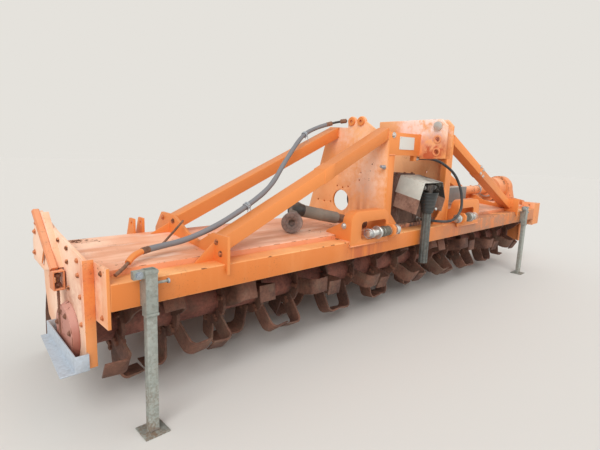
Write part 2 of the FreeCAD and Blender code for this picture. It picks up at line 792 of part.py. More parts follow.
def stands():
    """Telescopic parking stands: a sleeve on the beam and a leg with its foot."""
    middle = "(@front_face - @stand_gap - @sleeve_depth / 2)"
    for side, centre in (("left", "(-@stand_left)"), ("right", "@stand_right")):
        outer = box("Sleeve" + side, "@sleeve_width", "@sleeve_depth", "@sleeve_top - @sleeve_low",
                    centre + " - @sleeve_width / 2", middle + " - @sleeve_depth / 2", "@sleeve_low")
        inner = box("SleeveBore" + side, "@sleeve_width - 2 * @sleeve_wall", "@sleeve_depth - 2 * @sleeve_wall",
                    "@sleeve_top - @sleeve_low", centre + " - @sleeve_width / 2 + @sleeve_wall",
                    middle + " - @sleeve_depth / 2 + @sleeve_wall", "@sleeve_low")
        block = box("SleeveBlock" + side, "@sleeve_width", "@stand_gap", "@beam_side - 2 * @block_margin",
                    centre + " - @sleeve_width / 2", "@front_face - @stand_gap", "@beam_under + @block_margin")
        clamp = box("Clamp" + side, "@clamp_length", "@clamp_depth", "@clamp_tall",
                    centre + " - @sleeve_width / 2 - @clamp_length", middle + " - @clamp_depth / 2",
                    "@sleeve_top - @clamp_tall")
        handle = cylinder("Handle" + side, "@handle_radius", "@handle_length", "X",
                          centre + " + @sleeve_width / 2", middle, "@sleeve_top - @handle_drop")
        tube = cut("SleeveTube" + side, outer, inner)
        node("stand_sleeve_" + side, fuse("SleeveWhole" + side, tube, block, clamp, handle))
        inset = "(@sleeve_wall + @leg_play)"
        leg = box("Leg" + side, "@sleeve_width - 2 * " + inset, "@sleeve_depth - 2 * " + inset,
                  "@sleeve_top - @leg_short", centre + " - @sleeve_width / 2 + " + inset,
                  middle + " - @sleeve_depth / 2 + " + inset, "@foot_thick")
        foot = box("Foot" + side, "@foot_side", "@foot_side", "@foot_thick", centre + " - @foot_side / 2",
                   middle + " - @foot_side / 2", "0")
        node("stand_leg_" + side, fuse("LegWhole" + side, leg, foot))


def head_edge(back):
    """Height of the headstock plates' top edge at a distance behind the beam's face."""
    return f"@head_top + ({back} - @head_front) * (@head_rear_top - @head_top) / (@head_back - @head_front)"


# Bolt holes in the headstock's plates: distance behind the beam's face, height.
PLATE_HOLES = [
    (491, 735), (549, 734), (606, 738), (436, 923), (246, 942),
    (256, 895), (438, 845), (391, 837), (345, 847),
]


def headstock():
    """Side plates, front posts and the cross box under the mast."""
    face = "@front_face + "
    corners = [
        (face + "@head_front", "@beam_top"),
        (face + "@beam_side", "@beam_top"),
        (face + "@beam_side", "@deck_front_top"),
        (face + "@deck_crest_back", "@deck_crest_top"),
        (face + "@head_back_low", tail_height("@head_back_low")),
        (face + "@head_back", "@head_rear_top"),
        (face + "@head_front", "@head_top"),
    ]
    wall = plate("HeadWall", "YZ", corners, "@head_plate_thick", "@head_half - @head_plate_thick")
    start = "@head_half - @head_plate_thick"
    port = cylinder("Porthole", "@porthole_radius", "@head_plate_thick", "X", start, face + "@drive_back",
                    "@drive_height")
    small = [
        cylinder(f"PlateHole{index}", "@plate_hole_radius", "@head_plate_thick", "X", start, back, height)
        for index, (back, height) in enumerate(behind(PLATE_HOLES))
    ]
    eye_height = "@head_top + @top_lug_rise"
    web = plate("TopLugWeb", "YZ", [
        (face + "@top_lug_front", head_edge("@top_lug_front")),
        (face + "@top_eye_rear + @top_eye_rim", head_edge("(@top_eye_rear + @top_eye_rim)")),
        (face + "@top_eye_rear + @top_eye_rim", eye_height),
        (face + "@top_eye_front - @top_eye_rim", eye_height)], "@head_plate_thick", start)
    rims = []
    eyes = []
    for word in ("front", "rear"):
        place = (start, face + "@top_eye_" + word, eye_height)
        rims.append(cylinder("TopRim" + word, "@top_eye_rim", "@head_plate_thick", "X", *place))
        eyes.append(cylinder("TopEye" + word, "@top_eye_hole", "@head_plate_thick", "X", *place))
    lug = cut("TopLugBored", fuse("TopLug", web, *rims), *eyes)
    right = fuse("HeadPlateRight", cut("HeadWallBored", wall, port, *small), lug)
    node("headstock_plate_right", right)
    node("headstock_plate_left", mirrored("HeadPlateLeft", right))
    post = box("PostRight", "@post_width", "@beam_side - @head_front", "@cross_low - @beam_under - @beam_side",
               "@head_half - @head_plate_thick - @post_width", face + "@head_front", "@beam_top")
    root = "@head_half - @head_plate_thick - @post_width"
    gusset = plate("PostGusset", "XZ", [
        (root, "@beam_top"), (root, "@post_gusset_top"), (root + " - @post_gusset_reach", "@beam_top")],
        "@post_gusset_thick", face + "@head_front")
    post_right = fuse("PostWhole", post, gusset)
    node("headstock_posts", gather("Posts", post_right, mirrored("PostLeft", post_right)))
    inner = "(@head_half - @head_plate_thick)"
    beam = box("Crosshead", "2 * " + inner, "@cross_depth", "@cross_top - @cross_low", "-" + inner,
               face + "@head_front", "@cross_low")
    port = box("HosePort", "@port_width", "@port_width", "@cross_top - @port_low", "@port_side",
               face + "@port_back", "@port_low")
    node("headstock_crosshead", fuse("CrossheadWhole", beam, port))


def mast():
    """Two plates with three holes for the top link, and its pin."""
    face = "@front_face + "
    corners = [
        (face + "@mast_front", "@mast_low"),
        (face + "@head_front", "@cross_low - @cross_tuck"),
        (face + "@head_front", "@cross_top"),
        (face + "@mast_back", "@cross_top"),
        (face + "@mast_back", "@mast_rear_top"),
        (face + "@mast_front + @mast_corner", "@mast_top"),
        (face + "@mast_front", "@mast_top - @mast_corner"),
    ]
    wall = plate("MastWall", "YZ", corners, "@mast_thick", "@mast_gap / 2")
    holes = [
        cylinder("MastHole" + word, "@top_pin_radius + @top_pin_play", "@mast_thick", "X", "@mast_gap / 2",
                 "@front_face - @top_pin_forward", "@top_pin_" + word)
        for word in ("high", "middle", "bottom")
    ]
    right = cut("MastRight", wall, *holes)
    node("mast_plate_right", right)
    node("mast_plate_left", mirrored("MastLeft", right))
    outside = "(@mast_gap / 2 + @mast_thick)"
    place = ("@front_face - @top_pin_forward", "@top_pin_high")
    bar = cylinder("TopPin", "@top_pin_radius", outside + " + @top_pin_head_gap + @top_pin_half", "X",
                   "0 - " + outside + " - @top_pin_head_gap", *place)
    head = cylinder("TopPinHead", "@top_pin_head_radius", "@top_pin_head", "X",
                    "0 - " + outside + " - @top_pin_head_gap - @top_pin_head", *place)
    node("top_link_pin", fuse("TopPinWhole", bar, head))


# Steps of a lower link pin: name, radius, start from the pin's middle, length.
HITCH_PIN_STEPS = [
    ("Bar", "@hitch_pin_radius", "- @pin_inner", "@pin_inner + @pin_outer"),
    ("Collar", "@collar_radius", "+ @collar_start", "@collar_thick"),
    ("Ball", "@ball_radius", "- @frame_window_inner", "@frame_window_inner + @ball_outer"),
    ("Nut", "@nut_radius", "- @nut_start", "@nut_thick"),
]


def rounded_plate(name, left, right, low, top, radius, thick, start, square_foot):
    """Upright plate across the machine with rounded corners, the lower two square if asked."""
    flat_low = low if square_foot else f"{low} + {radius}"
    parts = [
        box(name + "Flat", f"{right} - ({left})", thick, f"{top} - {radius} - ({flat_low})",
            left, start, flat_low),
        box(name + "Tall", f"{right} - ({left}) - 2 * {radius}", thick, f"{top} - ({low})",
            f"{left} + {radius}", start, low),
    ]
    heights = [f"{top} - {radius}"] if square_foot else [f"{top} - {radius}", f"{low} + {radius}"]
    for word, across in (("Left", f"{left} + {radius}"), ("Right", f"{right} - {radius}")):
        for index, height in enumerate(heights):
            parts.append(cylinder(f"{name}{word}{index}", radius, thick, "Y", across, start, height))
    return fuse(name, *parts)


def lower_hitch():
    """Lower link brackets over the beam: windowed front plate, side plates, a cheek and the pin."""
    face = "@front_face + "
    inner = "@hitch_half_span - @frame_inner"
    outer = "@hitch_half_span + @frame_outer"
    corner = "@frame_corner"
    front = rounded_plate("HitchFront", inner, outer, "@frame_low", "@frame_top", corner, "@frame_thick",
                          "@front_face - @frame_thick", True)
    window = rounded_plate("HitchWindow", "@hitch_half_span - @frame_window_inner",
                           "@hitch_half_span + @frame_window_outer", "@frame_window_low", "@frame_window_top",
                           "@frame_window_corner", "@frame_thick", "@front_face - @frame_thick", False)
    wall = "@frame_side_thick"
    arch = rounded_plate("HitchArch", inner, outer, "@beam_top", "@frame_top", corner, "@frame_side_top",
                         "@front_face", True)
    room = rounded_plate("HitchRoom", inner + " + " + wall, outer + " - " + wall, "@beam_top",
                         "@frame_top - " + wall, "(" + corner + " - " + wall + ")", "@frame_side_top",
                         "@front_face", True)
    sides = []
    for word, start in (("Inner", inner), ("Outer", outer + " - " + wall)):
        top = "@frame_top - " + corner
        sides.append(plate("HitchSide" + word, "YZ", [
            ("@front_face", "@beam_top"),
            ("@front_face", top),
            (face + "@frame_side_top", top),
            (face + "@frame_side_back", "@frame_side_low"),
            (face + "@frame_side_back", deck_height("@frame_side_back")),
            (face + "@beam_side", "@deck_front_top"),
            (face + "@beam_side", "@beam_top"),
        ], wall, start))
    axis = ("@front_face - @hitch_pin_forward", "@hitch_pin_height")
    cheek = plate("Cheek", "YZ", [
        ("@front_face - @frame_thick", "@hitch_pin_height - @cheek_half"),
        (axis[0] + " - @cheek_half / 2", "@hitch_pin_height - @cheek_half"),
        (axis[0] + " - @cheek_half", "@hitch_pin_height - @cheek_half / 2"),
        (axis[0] + " - @cheek_half", "@hitch_pin_height + @cheek_half / 2"),
        (axis[0] + " - @cheek_half / 2", "@hitch_pin_height + @cheek_half"),
        ("@front_face - @frame_thick", "@hitch_pin_height + @cheek_half")], "@cheek_thick", inner)
    hole = cylinder("CheekHole", "@hitch_pin_radius + @hitch_pin_play", "@cheek_thick", "X", inner, *axis)
    right = fuse("HitchRight", cut("HitchPierced", front, window), cut("HitchRoof", arch, room), *sides,
                 cut("CheekBored", cheek, hole))
    node("hitch_bracket_right", right)
    node("hitch_bracket_left", mirrored("HitchLeft", right))
    turned = []
    for word, radius, start, length in HITCH_PIN_STEPS:
        turned.append(cylinder("HitchPin" + word, radius, length, "X", "@hitch_half_span " + start, *axis))
    pin = fuse("HitchPinRight", *turned)
    node("hitch_pins", gather("HitchPins", pin, mirrored("HitchPinLeft", pin)))


def braces():
    """Four sloping tubes from the headstock out to the ribs, with a pad plate at each foot."""
    face = "@front_face + "
    for word, start in (("front", face + "@head_front"), ("rear", face + "@brace_rear_face")):
        high = f"@brace_{word}_top"
        low = f"@brace_{word}_foot"
        slope = f"(({high} - {low}) / (@brace_foot_x - @head_half))"
        rise = "(@brace_tall * sqrt(1 + " + slope + " * " + slope + ") / 2)"
        corners = [
            ("@head_half", high + " - " + rise),
            ("@head_half", high + " + " + rise),
            ("@brace_foot_x", low + " + " + rise),
            ("@brace_foot_x", low + " - " + rise),
        ]
        tube = plate("Brace" + word, "XZ", corners, "@brace_deep", start)
        if word == "front":
            pad_front, pad_width = start + " - @brace_pad_margin", "@brace_deep + 2 * @brace_pad_margin"
            pad_low = "(@deck_front_top + 2 * @brace_pad_thick)"
        else:
            pad_front, pad_width = start, "@brace_deep + @brace_pad_margin"
            pad_low = "(@deck_crest_top + @brace_pad_thick)"
        pad_tall = low + " + " + rise + " + @brace_pad_thick - " + pad_low
        pad = box("BracePad" + word, "@brace_pad_thick", pad_width, pad_tall,
                  "@brace_foot_x - @brace_pad_thick", pad_front, pad_low)
        pieces = [tube, pad]
        if word == "front":
            pieces.append(brace_joint(high, slope, rise, start))
        right = fuse("BraceWhole" + word, *pieces)
        node("brace_" + word + "_right", right)
        node("brace_" + word + "_left", mirrored("BraceLeft" + word, right))


def brace_joint(high, slope, rise, start):
    """Bolted joint part of the way down a front brace: a collar a little proud of the tube."""
    corners = []
    for offset, side in (("- @brace_joint_length / 2", "-"), ("- @brace_joint_length / 2", "+"),
                         ("+ @brace_joint_length / 2", "+"), ("+ @brace_joint_length / 2", "-")):
        along = "(@brace_joint_x " + offset + ")"
        middle = high + " - (" + along + " - @head_half) * " + slope
        corners.append((along, middle + f" {side} ({rise} + @brace_joint_rise)"))
    return plate("BraceJoint", "XZ", corners, "@brace_deep + 2 * @brace_joint_rise",
                 start + " - @brace_joint_rise")


def brace_ribs():
    """Cross ribs at the braces' outer ends, with gussets; the right one is saddled for the drive's guard."""
    face = "@front_face + "
    corners = [
        ("@front_face - @rib_tongue_front", "@rib_tongue_low"),
        ("@front_face", "@beam_top - @frame_thick"),
        ("@front_face", "@beam_top"),
        (face + "@beam_side", "@beam_top"),
        (face + "@beam_side", "@deck_front_top"),
        (face + "@deck_crest_back", "@deck_crest_top"),
        (face + "@rib_tail_back", tail_height("@rib_tail_back")),
        (face + "@rib_tail_back", "@rib_valley_top"),
        (face + "@rib_rear_back", "@rib_rear_top"),
        (face + "@brace_rear_face", "@rib_rear_top"),
        (face + "@rib_valley_back + @beam_side", "@rib_valley_top + @brace_pad_margin"),
        (face + "@rib_valley_back", "@rib_valley_top"),
        (face + "@beam_side", "@rib_front_top"),
        ("@front_face - @rib_tongue_front", "@rib_front_top"),
    ]
    rib = plate("BraceRib", "YZ", corners, "@foot_rib_thick", "@brace_foot_x")
    outer = "@brace_foot_x + @foot_rib_thick"
    rear_low = deck_height("(@gusset_rear_back + @gusset_thick)")
    gussets = [
        plate("Gusset" + word, "XZ",
              [(outer, low), (outer, f"@gusset_{word}_top"), (outer + " + @gusset_reach", low)],
              "@gusset_thick", face + f"@gusset_{word}_back")
        for word, low in (("front", "@beam_top"), ("rear", rear_low))
    ]
    right = fuse("BraceRibWhole", rib, *gussets)
    node("brace_rib_left", mirrored("BraceRibLeft", right))
    room = cylinder("RibRoom", "@lateral_radius + @rib_room", "@foot_rib_thick + @gusset_reach", "X",
                    "@brace_foot_x", face + "@drive_back", "@drive_height")
    node("brace_rib_right", cut("BraceRibSaddled", right, room))


def hanging_shaft():
    """Drive shaft half that hangs from the gearbox's input, with its guard cone."""
    centre = "@front_face - @joint_forward"
    stub_length = "@box_front - @bearing_cover_length + @joint_forward - @fork_reach"
    stub = cylinder("InputStub", "@input_radius", stub_length, "Y", "@input_side", centre + " + @fork_reach",
                    "@input_height")
    left = "@input_side - @fork_half"
    web = box("ForkWeb", "2 * @fork_half", "@fork_web", "2 * @fork_ear", left,
              centre + " + @fork_reach - @fork_web", "@input_height - @fork_ear")
    ears = [
        box("ForkEar" + word, "@fork_thick", "@fork_reach - @fork_web + @fork_ear", "2 * @fork_ear", start,
            centre + " - @fork_ear", "@input_height - @fork_ear")
        for word, start in (("Left", left), ("Right", "@input_side + @fork_half - @fork_thick"))
    ]
    seat = cylinder("ForkSeat", "@cross_radius + @cross_play", "2 * @fork_half", "X", left, centre,
                    "@input_height")
    node("input_shaft", cut("InputFork", fuse("InputForkSolid", stub, web, *ears), seat))
    rim = "@input_height - @cone_rim_drop"
    cones = []
    for word, wall, lift in (("", "0", "0"), ("Hollow", "@cone_wall", "@cone_wall")):
        cone = doc.addObject("Part::Cone", "ShaftCone" + word)
        bind(cone, "Radius1", "@cone_low_radius - " + wall)
        bind(cone, "Radius2", "@cone_top_radius - " + wall)
        bind(cone, "Height", "@cone_length")
        at(cone, "@input_side", centre, rim + " - @cone_length + " + lift)
        cones.append(cone)
    neck = cylinder("ConeSeat", "@tube_radius", "2 * @cone_wall", "Z", "@input_side", centre,
                    rim + " - @cone_length - @cone_wall / 2")
    node("shaft_guard_cone", cut("ShaftGuard", cones[0], cones[1], neck))
    low = "@input_height - @tube_drop"
    tube_length = "@tube_drop - @cone_rim_drop - @cone_length + @tube_overlap"
    tube = cylinder("ShaftTube", "@tube_radius", tube_length, "Z", "@input_side", centre, low)
    start = "@input_side - @block_half"
    block = box("JointBlock", "2 * @block_half", "2 * @block_half", "@tube_drop - @block_low + @block_half",
                start, centre + " - @block_half", low + " + @block_low")
    cross = cylinder("JointCross", "@cross_radius", "2 * @fork_half", "X", left, centre, "@input_height")
    node("hanging_drive_shaft", fuse("HangingShaft", tube, block, cross))


def gearbox():
    """Central gearbox with its covers, and its bent shield over the input joint."""
    face = "@front_face + "
    back = "(@box_front + @box_depth)"
    body = plate("GearBody", "YZ", [
        (face + "@box_front", deck_height("@box_front")),
        (face + back, deck_height(back)),
        (face + back, "@box_top - @box_back_corner"),
        (face + back + " - @box_back_corner", "@box_top"),
        (face + "@box_front + @box_front_corner", "@box_top"),
        (face + "@box_front", "@box_top - @box_front_corner"),
    ], "2 * @box_half", "-@box_half")
    lid = box("GearLid", "2 * @cover_half", "@cover_length", "@cover_thick",
              "-@cover_half", face + "@box_front + @cover_inset", "@box_top")
    output = cylinder("GearOutput", "@output_radius", "@output_length", "X", "@box_half",
                      face + "@drive_back", "@drive_height")
    blank = cylinder("GearBlank", "@output_radius", "@blank_length", "X", "-@box_half - @blank_length",
                     face + "@drive_back", "@drive_height")
    cover = cylinder("GearCover", "@bearing_cover_radius", "@bearing_cover_length", "Y", "@input_side",
                     face + "@box_front - @bearing_cover_length", "@input_height")
    node("gearbox", fuse("GearWhole", body, lid, output, blank, cover))
    node("gearbox_shield", gearbox_shield())


def gearbox_shield():
    """Half of a six-sided tunnel over the input joint, sloping down to the front."""
    half = [
        ("@shield_foot_half", "@shield_low"), ("@shield_top_half", "@shield_top"),
        ("@shield_top_half - @shield_top_wall", "@shield_top - @shield_thick"),
        ("@shield_foot_half - @shield_foot_wall", "@shield_low"),
    ]
    left = [("@shield_side - (" + across + ")", height) for across, height in half]
    right = [("@shield_side + " + across, height) for across, height in half]
    corners = [left[0], left[1], right[1], right[0], right[3], right[2], left[2], left[3]]
    tunnel = plate("Shield", "XZ", corners, "@shield_length", "@front_face + @box_front")
    lean = FreeCAD.Rotation(FreeCAD.Vector(1, 0, 0), size("shield_slope"))
    tunnel.Dir = lean.multVec(FreeCAD.Vector(0, -1, 0))
    return tunnel


def lateral_drive():
    """Drive line to the right: guard tube, its cover and bellows, round guard, side case and shoe."""
    face = "@front_face + "
    axis = (face + "@drive_back", "@drive_height")
    start = "(@box_half + @output_length)"
    tube = cylinder("LateralGuard", "@lateral_radius", "@end_outer - " + start, "X", start, *axis)
    node("lateral_drive_guard", tube)
    wall = "@cover_wall"
    cover = plate("LateralCover", "YZ", [
        (face + "@cover_front", "@cover_low"), (face + "@cover_front", "@cover_top"),
        (face + "@cover_back", "@cover_top"), (face + "@cover_back", "@cover_top - " + wall),
        (face + "@cover_front + " + wall, "@cover_top - " + wall),
        (face + "@cover_front + " + wall, "@cover_low")],
        "@cover_end - @head_half", "@head_half")
    node("lateral_drive_cover", cover)
    guard_start = "(@end_inner - @hub_guard_length)"
    drum = sleeve("HubGuard", "@hub_guard_radius", "@hub_guard_length", guard_start, axis)
    bellows = sleeve("Bellows", "@bellows_radius", "@bellows_length", guard_start + " - @bellows_length", axis)
    node("drive_hub_guard", fuse("HubGuardWhole", drum, bellows))
    low_back = face + "@rotor_back"
    high_back = face + "@drive_back"
    low = cylinder("CaseLow", "@case_low_radius", "@case_width", "X", "@end_outer", low_back, "@rotor_height")
    high = cylinder("CaseHigh", "@case_top_radius", "@case_width", "X", "@end_outer", high_back, "@drive_height")
    link = plate("CaseLink", "YZ", [
        (low_back + " - @case_low_radius", "@rotor_height"),
        (low_back + " + @case_low_radius", "@rotor_height"),
        (high_back + " + @case_top_radius", "@drive_height"),
        (high_back + " - @case_top_radius", "@drive_height")], "@case_width", "@end_outer")
    band = cylinder("ShoeBand", "@case_low_radius + @shoe_thick", "@case_width", "X", "@end_outer", low_back,
                    "@rotor_height")
    room = box("ShoeRoom", "@case_width", "@shoe_room", "@shoe_room", "@end_outer",
               low_back + " - @shoe_room / 2", "@rotor_height - @shoe_rise")
    node("side_drive_case", fuse("DriveCase", low, high, link, cut("Shoe", band, room)))


def case_front(height):
    """Distance of the side case's front edge behind the beam's face at a height."""
    low = "(@rotor_back - @case_low_radius)"
    high = "(@drive_back - @case_top_radius)"
    return f"{low} + ({height} - @rotor_height) * ({high} - {low}) / (@drive_height - @rotor_height)"


def sleeve(name, radius, length, start, axis):
    """Round guard along X, bored for the lateral guard tube."""
    drum = cylinder(name + "Drum", radius, length, "X", start, *axis)
    bore = cylinder(name + "Bore", "@lateral_radius", length, "X", start, *axis)
    return cut(name, drum, bore)


# Routes: distance along the machine, distance behind the beam's face, height.
HOSE_ROUTE = [
    (-1990, 60, 599.8), (-1945, 84, 616), (-1905, 116, 644), (-1868, 136, 653), (-1830, 152, 656),
    (-1732, 182, 658),
    (-1652, 196, 662), (-1575, 196, 682), (-1506, 176, 712), (-1432, 160, 752), (-1353, 150, 796),
    (-1211, 182, 858), (-1101, 240, 912), (-988, 310, 984), (-886, 370, 1043), (-781, 430, 1104),
    (-666, 490, 1164), (-551, 520, 1204), (-472, 490, 1234), (-414, 430, 1256), (-388, 388, 1262),
]
LOOP_ROUTE = [
    (-70, 75, 1041), (15, 75, 1042), (126, 68, 1042), (195, 42, 1025), (241, 10, 994), (290, -22, 949),
    (328, -45, 883), (350, -60, 812), (352, -68, 755), (344, -72, 705), (310, -72, 663), (255, -72, 638),
    (195, -68, 628), (145, -45, 627), (108, -5, 629), (86, 50, 630), (86, 119.7, 630),
]


def hoses():
    """Hydraulic hose clipped along the left braces, and the short loop hose by the gearbox."""
    face = size("front_face")
    runs = (("hydraulic_hose", "hose_radius", HOSE_ROUTE), ("loop_hose", "loop_radius", LOOP_ROUTE))
    for label, radius, route in runs:
        holder = doc.addObject("Part::Feature", "Tube" + label)
        points = [FreeCAD.Vector(across, face + back, height) for across, back, height in route]
        holder.Shape = tube_along(label, points, size(radius))
        node(label, holder)


def tube_along(label, points, radius):
    """Round tube along straight runs joined by tangent arcs as large as the runs allow."""
    edges = []
    start = points[0]
    radii = []
    for before, corner, after in zip(points, points[1:], points[2:]):
        come = (corner - before).normalize()
        leave = (after - corner).normalize()
        turn = come.getAngle(leave)
        setback = size("run_share") * min((corner - before).Length, (after - corner).Length)
        first = corner - come * setback
        last = corner + leave * setback
        bend = setback / math.tan(turn / 2)
        radii.append(round(bend))
        inward = (leave - come).normalize()
        middle = corner + inward * (bend / math.cos(turn / 2) - bend)
        edges.append(Part.LineSegment(start, first).toShape())
        edges.append(Part.Arc(first, middle, last).toShape())
        start = last
    edges.append(Part.LineSegment(start, points[-1]).toShape())
    path = Part.Wire(edges)
    direction = (points[1] - points[0]).normalize()
    ring = Part.Wire([Part.makeCircle(radius, points[0], direction)])
    tube = path.makePipeShell([ring], True, False)
    expected = math.pi * radius ** 2 * path.Length
    print(f"{label}: length {path.Length:.0f}, radii {radii}, volume ratio {tube.Volume / expected:.4f}")
    return tube


# Steps of the lying drive shaft half: radius, then the place of each end as in the routes.
LOOSE_STEPS = [
    ("loose_hub_radius", (-1001, 214, 679.6), (-969, 238, 679.6)),
    ("loose_yoke_radius", (-985, 226, 679), (-915, 290, 736)),
    ("loose_bell_radius", (-934, 300, 744), (-860, 273, 730)),
    ("loose_tube_radius", (-905, 289, 739), (-655, 194, 683)),
    ("tube_radius", (-690, 207, 691), (-474, 125, 642)),
]


def loose_shaft():
    """The drive shaft's other half, lying on the hood beside the headstock."""
    face = size("front_face")
    rods = []
    for radius, start, end in LOOSE_STEPS:
        first, last = [FreeCAD.Vector(across, face + back, height) for across, back, height in (start, end)]
        rods.append(Part.makeCylinder(size(radius), (last - first).Length, first, last - first))
    holder = doc.addObject("Part::Feature", "LooseShaft")
    holder.Shape = rods[0].fuse(rods[1:])
    node("loose_drive_shaft", holder)


def write_nodes():
    """Check every object, then write one STEP file for each sub-part."""
    doc.recompute()
    for obj in doc.Objects:
        if {"Invalid", "Error"} & set(obj.State):
            raise SystemExit(f"{obj.Label} did not recompute: {obj.State}")
    for label, obj in nodes.items():
        if obj.Shape.isNull() or not obj.Shape.isValid():
            raise SystemExit(f"{label} has no valid shape")
    os.makedirs("parts", exist_ok=True)
    for label, obj in nodes.items():
        obj.Shape.exportStep(f"parts/{label}.step")
        low = obj.Shape.BoundBox
        print(f"{label:26s} solids {len(obj.Shape.Solids)}  "
              f"x {low.XMin:.0f}..{low.XMax:.0f}  y {low.YMin:.0f}..{low.YMax:.0f}  "
              f"z {low.ZMin:.0f}..{low.ZMax:.0f}")


front_beam()
end_plates()
bearings()
skids()
deck()
rotor()
levelling_board()
stands()
headstock()
mast()
lower_hitch()
braces()
brace_ribs()
gearbox()
lateral_drive()
hanging_shaft()
hoses()
loose_shaft()
write_nodes()
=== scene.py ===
"""Looks of a wide rotary tiller in worn orange paint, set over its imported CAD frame."""
import logging
import math
from dataclasses import dataclass, field
from enum import Enum
from typing import Sequence

import bmesh
import bpy
import numpy as np
from mathutils import Matrix, Vector


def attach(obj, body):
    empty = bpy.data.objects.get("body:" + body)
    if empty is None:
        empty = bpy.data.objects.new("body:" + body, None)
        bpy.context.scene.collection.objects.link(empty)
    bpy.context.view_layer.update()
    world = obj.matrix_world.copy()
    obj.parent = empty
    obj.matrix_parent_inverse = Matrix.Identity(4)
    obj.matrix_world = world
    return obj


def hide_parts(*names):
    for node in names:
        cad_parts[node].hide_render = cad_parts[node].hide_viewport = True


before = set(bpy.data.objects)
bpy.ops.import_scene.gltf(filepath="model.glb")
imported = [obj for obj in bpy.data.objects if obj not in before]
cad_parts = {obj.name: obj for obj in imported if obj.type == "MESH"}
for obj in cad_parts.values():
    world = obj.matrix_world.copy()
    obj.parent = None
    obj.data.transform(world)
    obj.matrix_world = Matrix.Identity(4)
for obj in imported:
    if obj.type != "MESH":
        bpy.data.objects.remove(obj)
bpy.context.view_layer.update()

log = logging.getLogger("rotary_tiller")
Point = tuple[float, float, float]
Pairs = Sequence[tuple[float, float]]
Number = "float | Wire"

FACE = -0.4065  # front face of the beam, metres along Y
ROTOR = (FACE + 0.315, 0.33)  # rotor's axis in the side view, as Y and Z
DRIVE = (FACE + 0.403, 0.753)  # drive line's axis in the side view
RIGHT, FORWARD, UP = (1, 0, 0), (0, -1, 0), (0, 0, 1)
SIDES = ((-1, "left"), (1, "right"))
FULL_TURN = 2.0 * math.pi
EDGE_LAYER = "edge"  # number on the faces, 1 on eased edges


# ---------------------------------------------------------------- shader maths


class Wire:
    """A shader socket that takes part in Python arithmetic through Math nodes."""

    def __init__(self, graph: "Graph", socket: bpy.types.NodeSocket) -> None:
        """Keep the socket and the graph that it belongs to."""
        self.graph = graph
        self.socket = socket

    def _math(self, operation: str, *values: "Number") -> "Wire":
        """Result of one Math node, from its operation's name and its inputs in order."""
        return self.graph.wire("ShaderNodeMath", {"operation": operation}, dict(enumerate(values)))

    def __add__(self, other: "Number") -> "Wire":
        """Sum."""
        return self._math("ADD", self, other)

    def __sub__(self, other: "Number") -> "Wire":
        """Difference."""
        return self._math("SUBTRACT", self, other)

    def __rsub__(self, other: "Number") -> "Wire":
        """Difference from a number."""
        return self._math("SUBTRACT", other, self)

    def __mul__(self, other: "Number") -> "Wire":
        """Product."""
        return self._math("MULTIPLY", self, other)

    def most(self, other: "Number") -> "Wire":
        """Larger of two values."""
        return self._math("MAXIMUM", self, other)

    def sine(self) -> "Wire":
        """Sine of an angle in radians."""
        return self._math("SINE", self)

    def clamped(self) -> "Wire":
        """Value held between 0 and 1."""
        return self.ramp(0.0, 1.0)

    def ramp(self, low: float, high: float) -> "Wire":
        """Share from 0 at low to 1 at high, held outside them; high may be the smaller one."""
        return self.graph.wire("ShaderNodeMapRange", {"clamp": True},
                               {"Value": self, "From Min": low, "From Max": high})


class Graph:
    """Node graph of a material or of the world."""

    def __init__(self, tree: bpy.types.NodeTree) -> None:
        """Empty the tree and keep it."""
        self.tree = tree
        self.tree.nodes.clear()

    def node(self, kind: str, settings: dict | None = None, inputs: dict | None = None) -> bpy.types.Node:
        """Add one node.

        Args:
            kind: Blender's type name of the node.
            settings: properties to set first, such as a Math node's operation.
            inputs: values, sockets or wires for its inputs, by name or place.

        Returns:
            The new node.
        """
        node = self.tree.nodes.new(kind)
        for key, value in (settings or {}).items():
            setattr(node, key, value)
        for key, value in (inputs or {}).items():
            self.feed(node.inputs[key], value)
        return node

    def feed(self, socket: bpy.types.NodeSocket, value: object) -> None:
        """Give a socket a value, or a link from a wire or a socket."""
        if isinstance(value, Wire):
            value = value.socket
        if isinstance(value, bpy.types.NodeSocket):
            self.tree.links.new(value, socket)
        elif isinstance(value, tuple) and len(value) == 3 and socket.type == "RGBA":
            socket.default_value = (*value, 1.0)
        else:
            socket.default_value = value

    def wire(self, kind: str, settings: dict | None = None, inputs: dict | None = None,
             output: int | str = 0) -> Wire:
        """Add one node and return one of its outputs as a wire."""
        return Wire(self, self.node(kind, settings, inputs).outputs[output])

    def mix(self, share: "Number", low: object, high: object) -> Wire:
        """Blend of two colours or wires: a share of 0 gives low, 1 gives high."""
        return self.wire("ShaderNodeMix", {"data_type": "RGBA"}, {0: share, 6: low, 7: high}, 2)


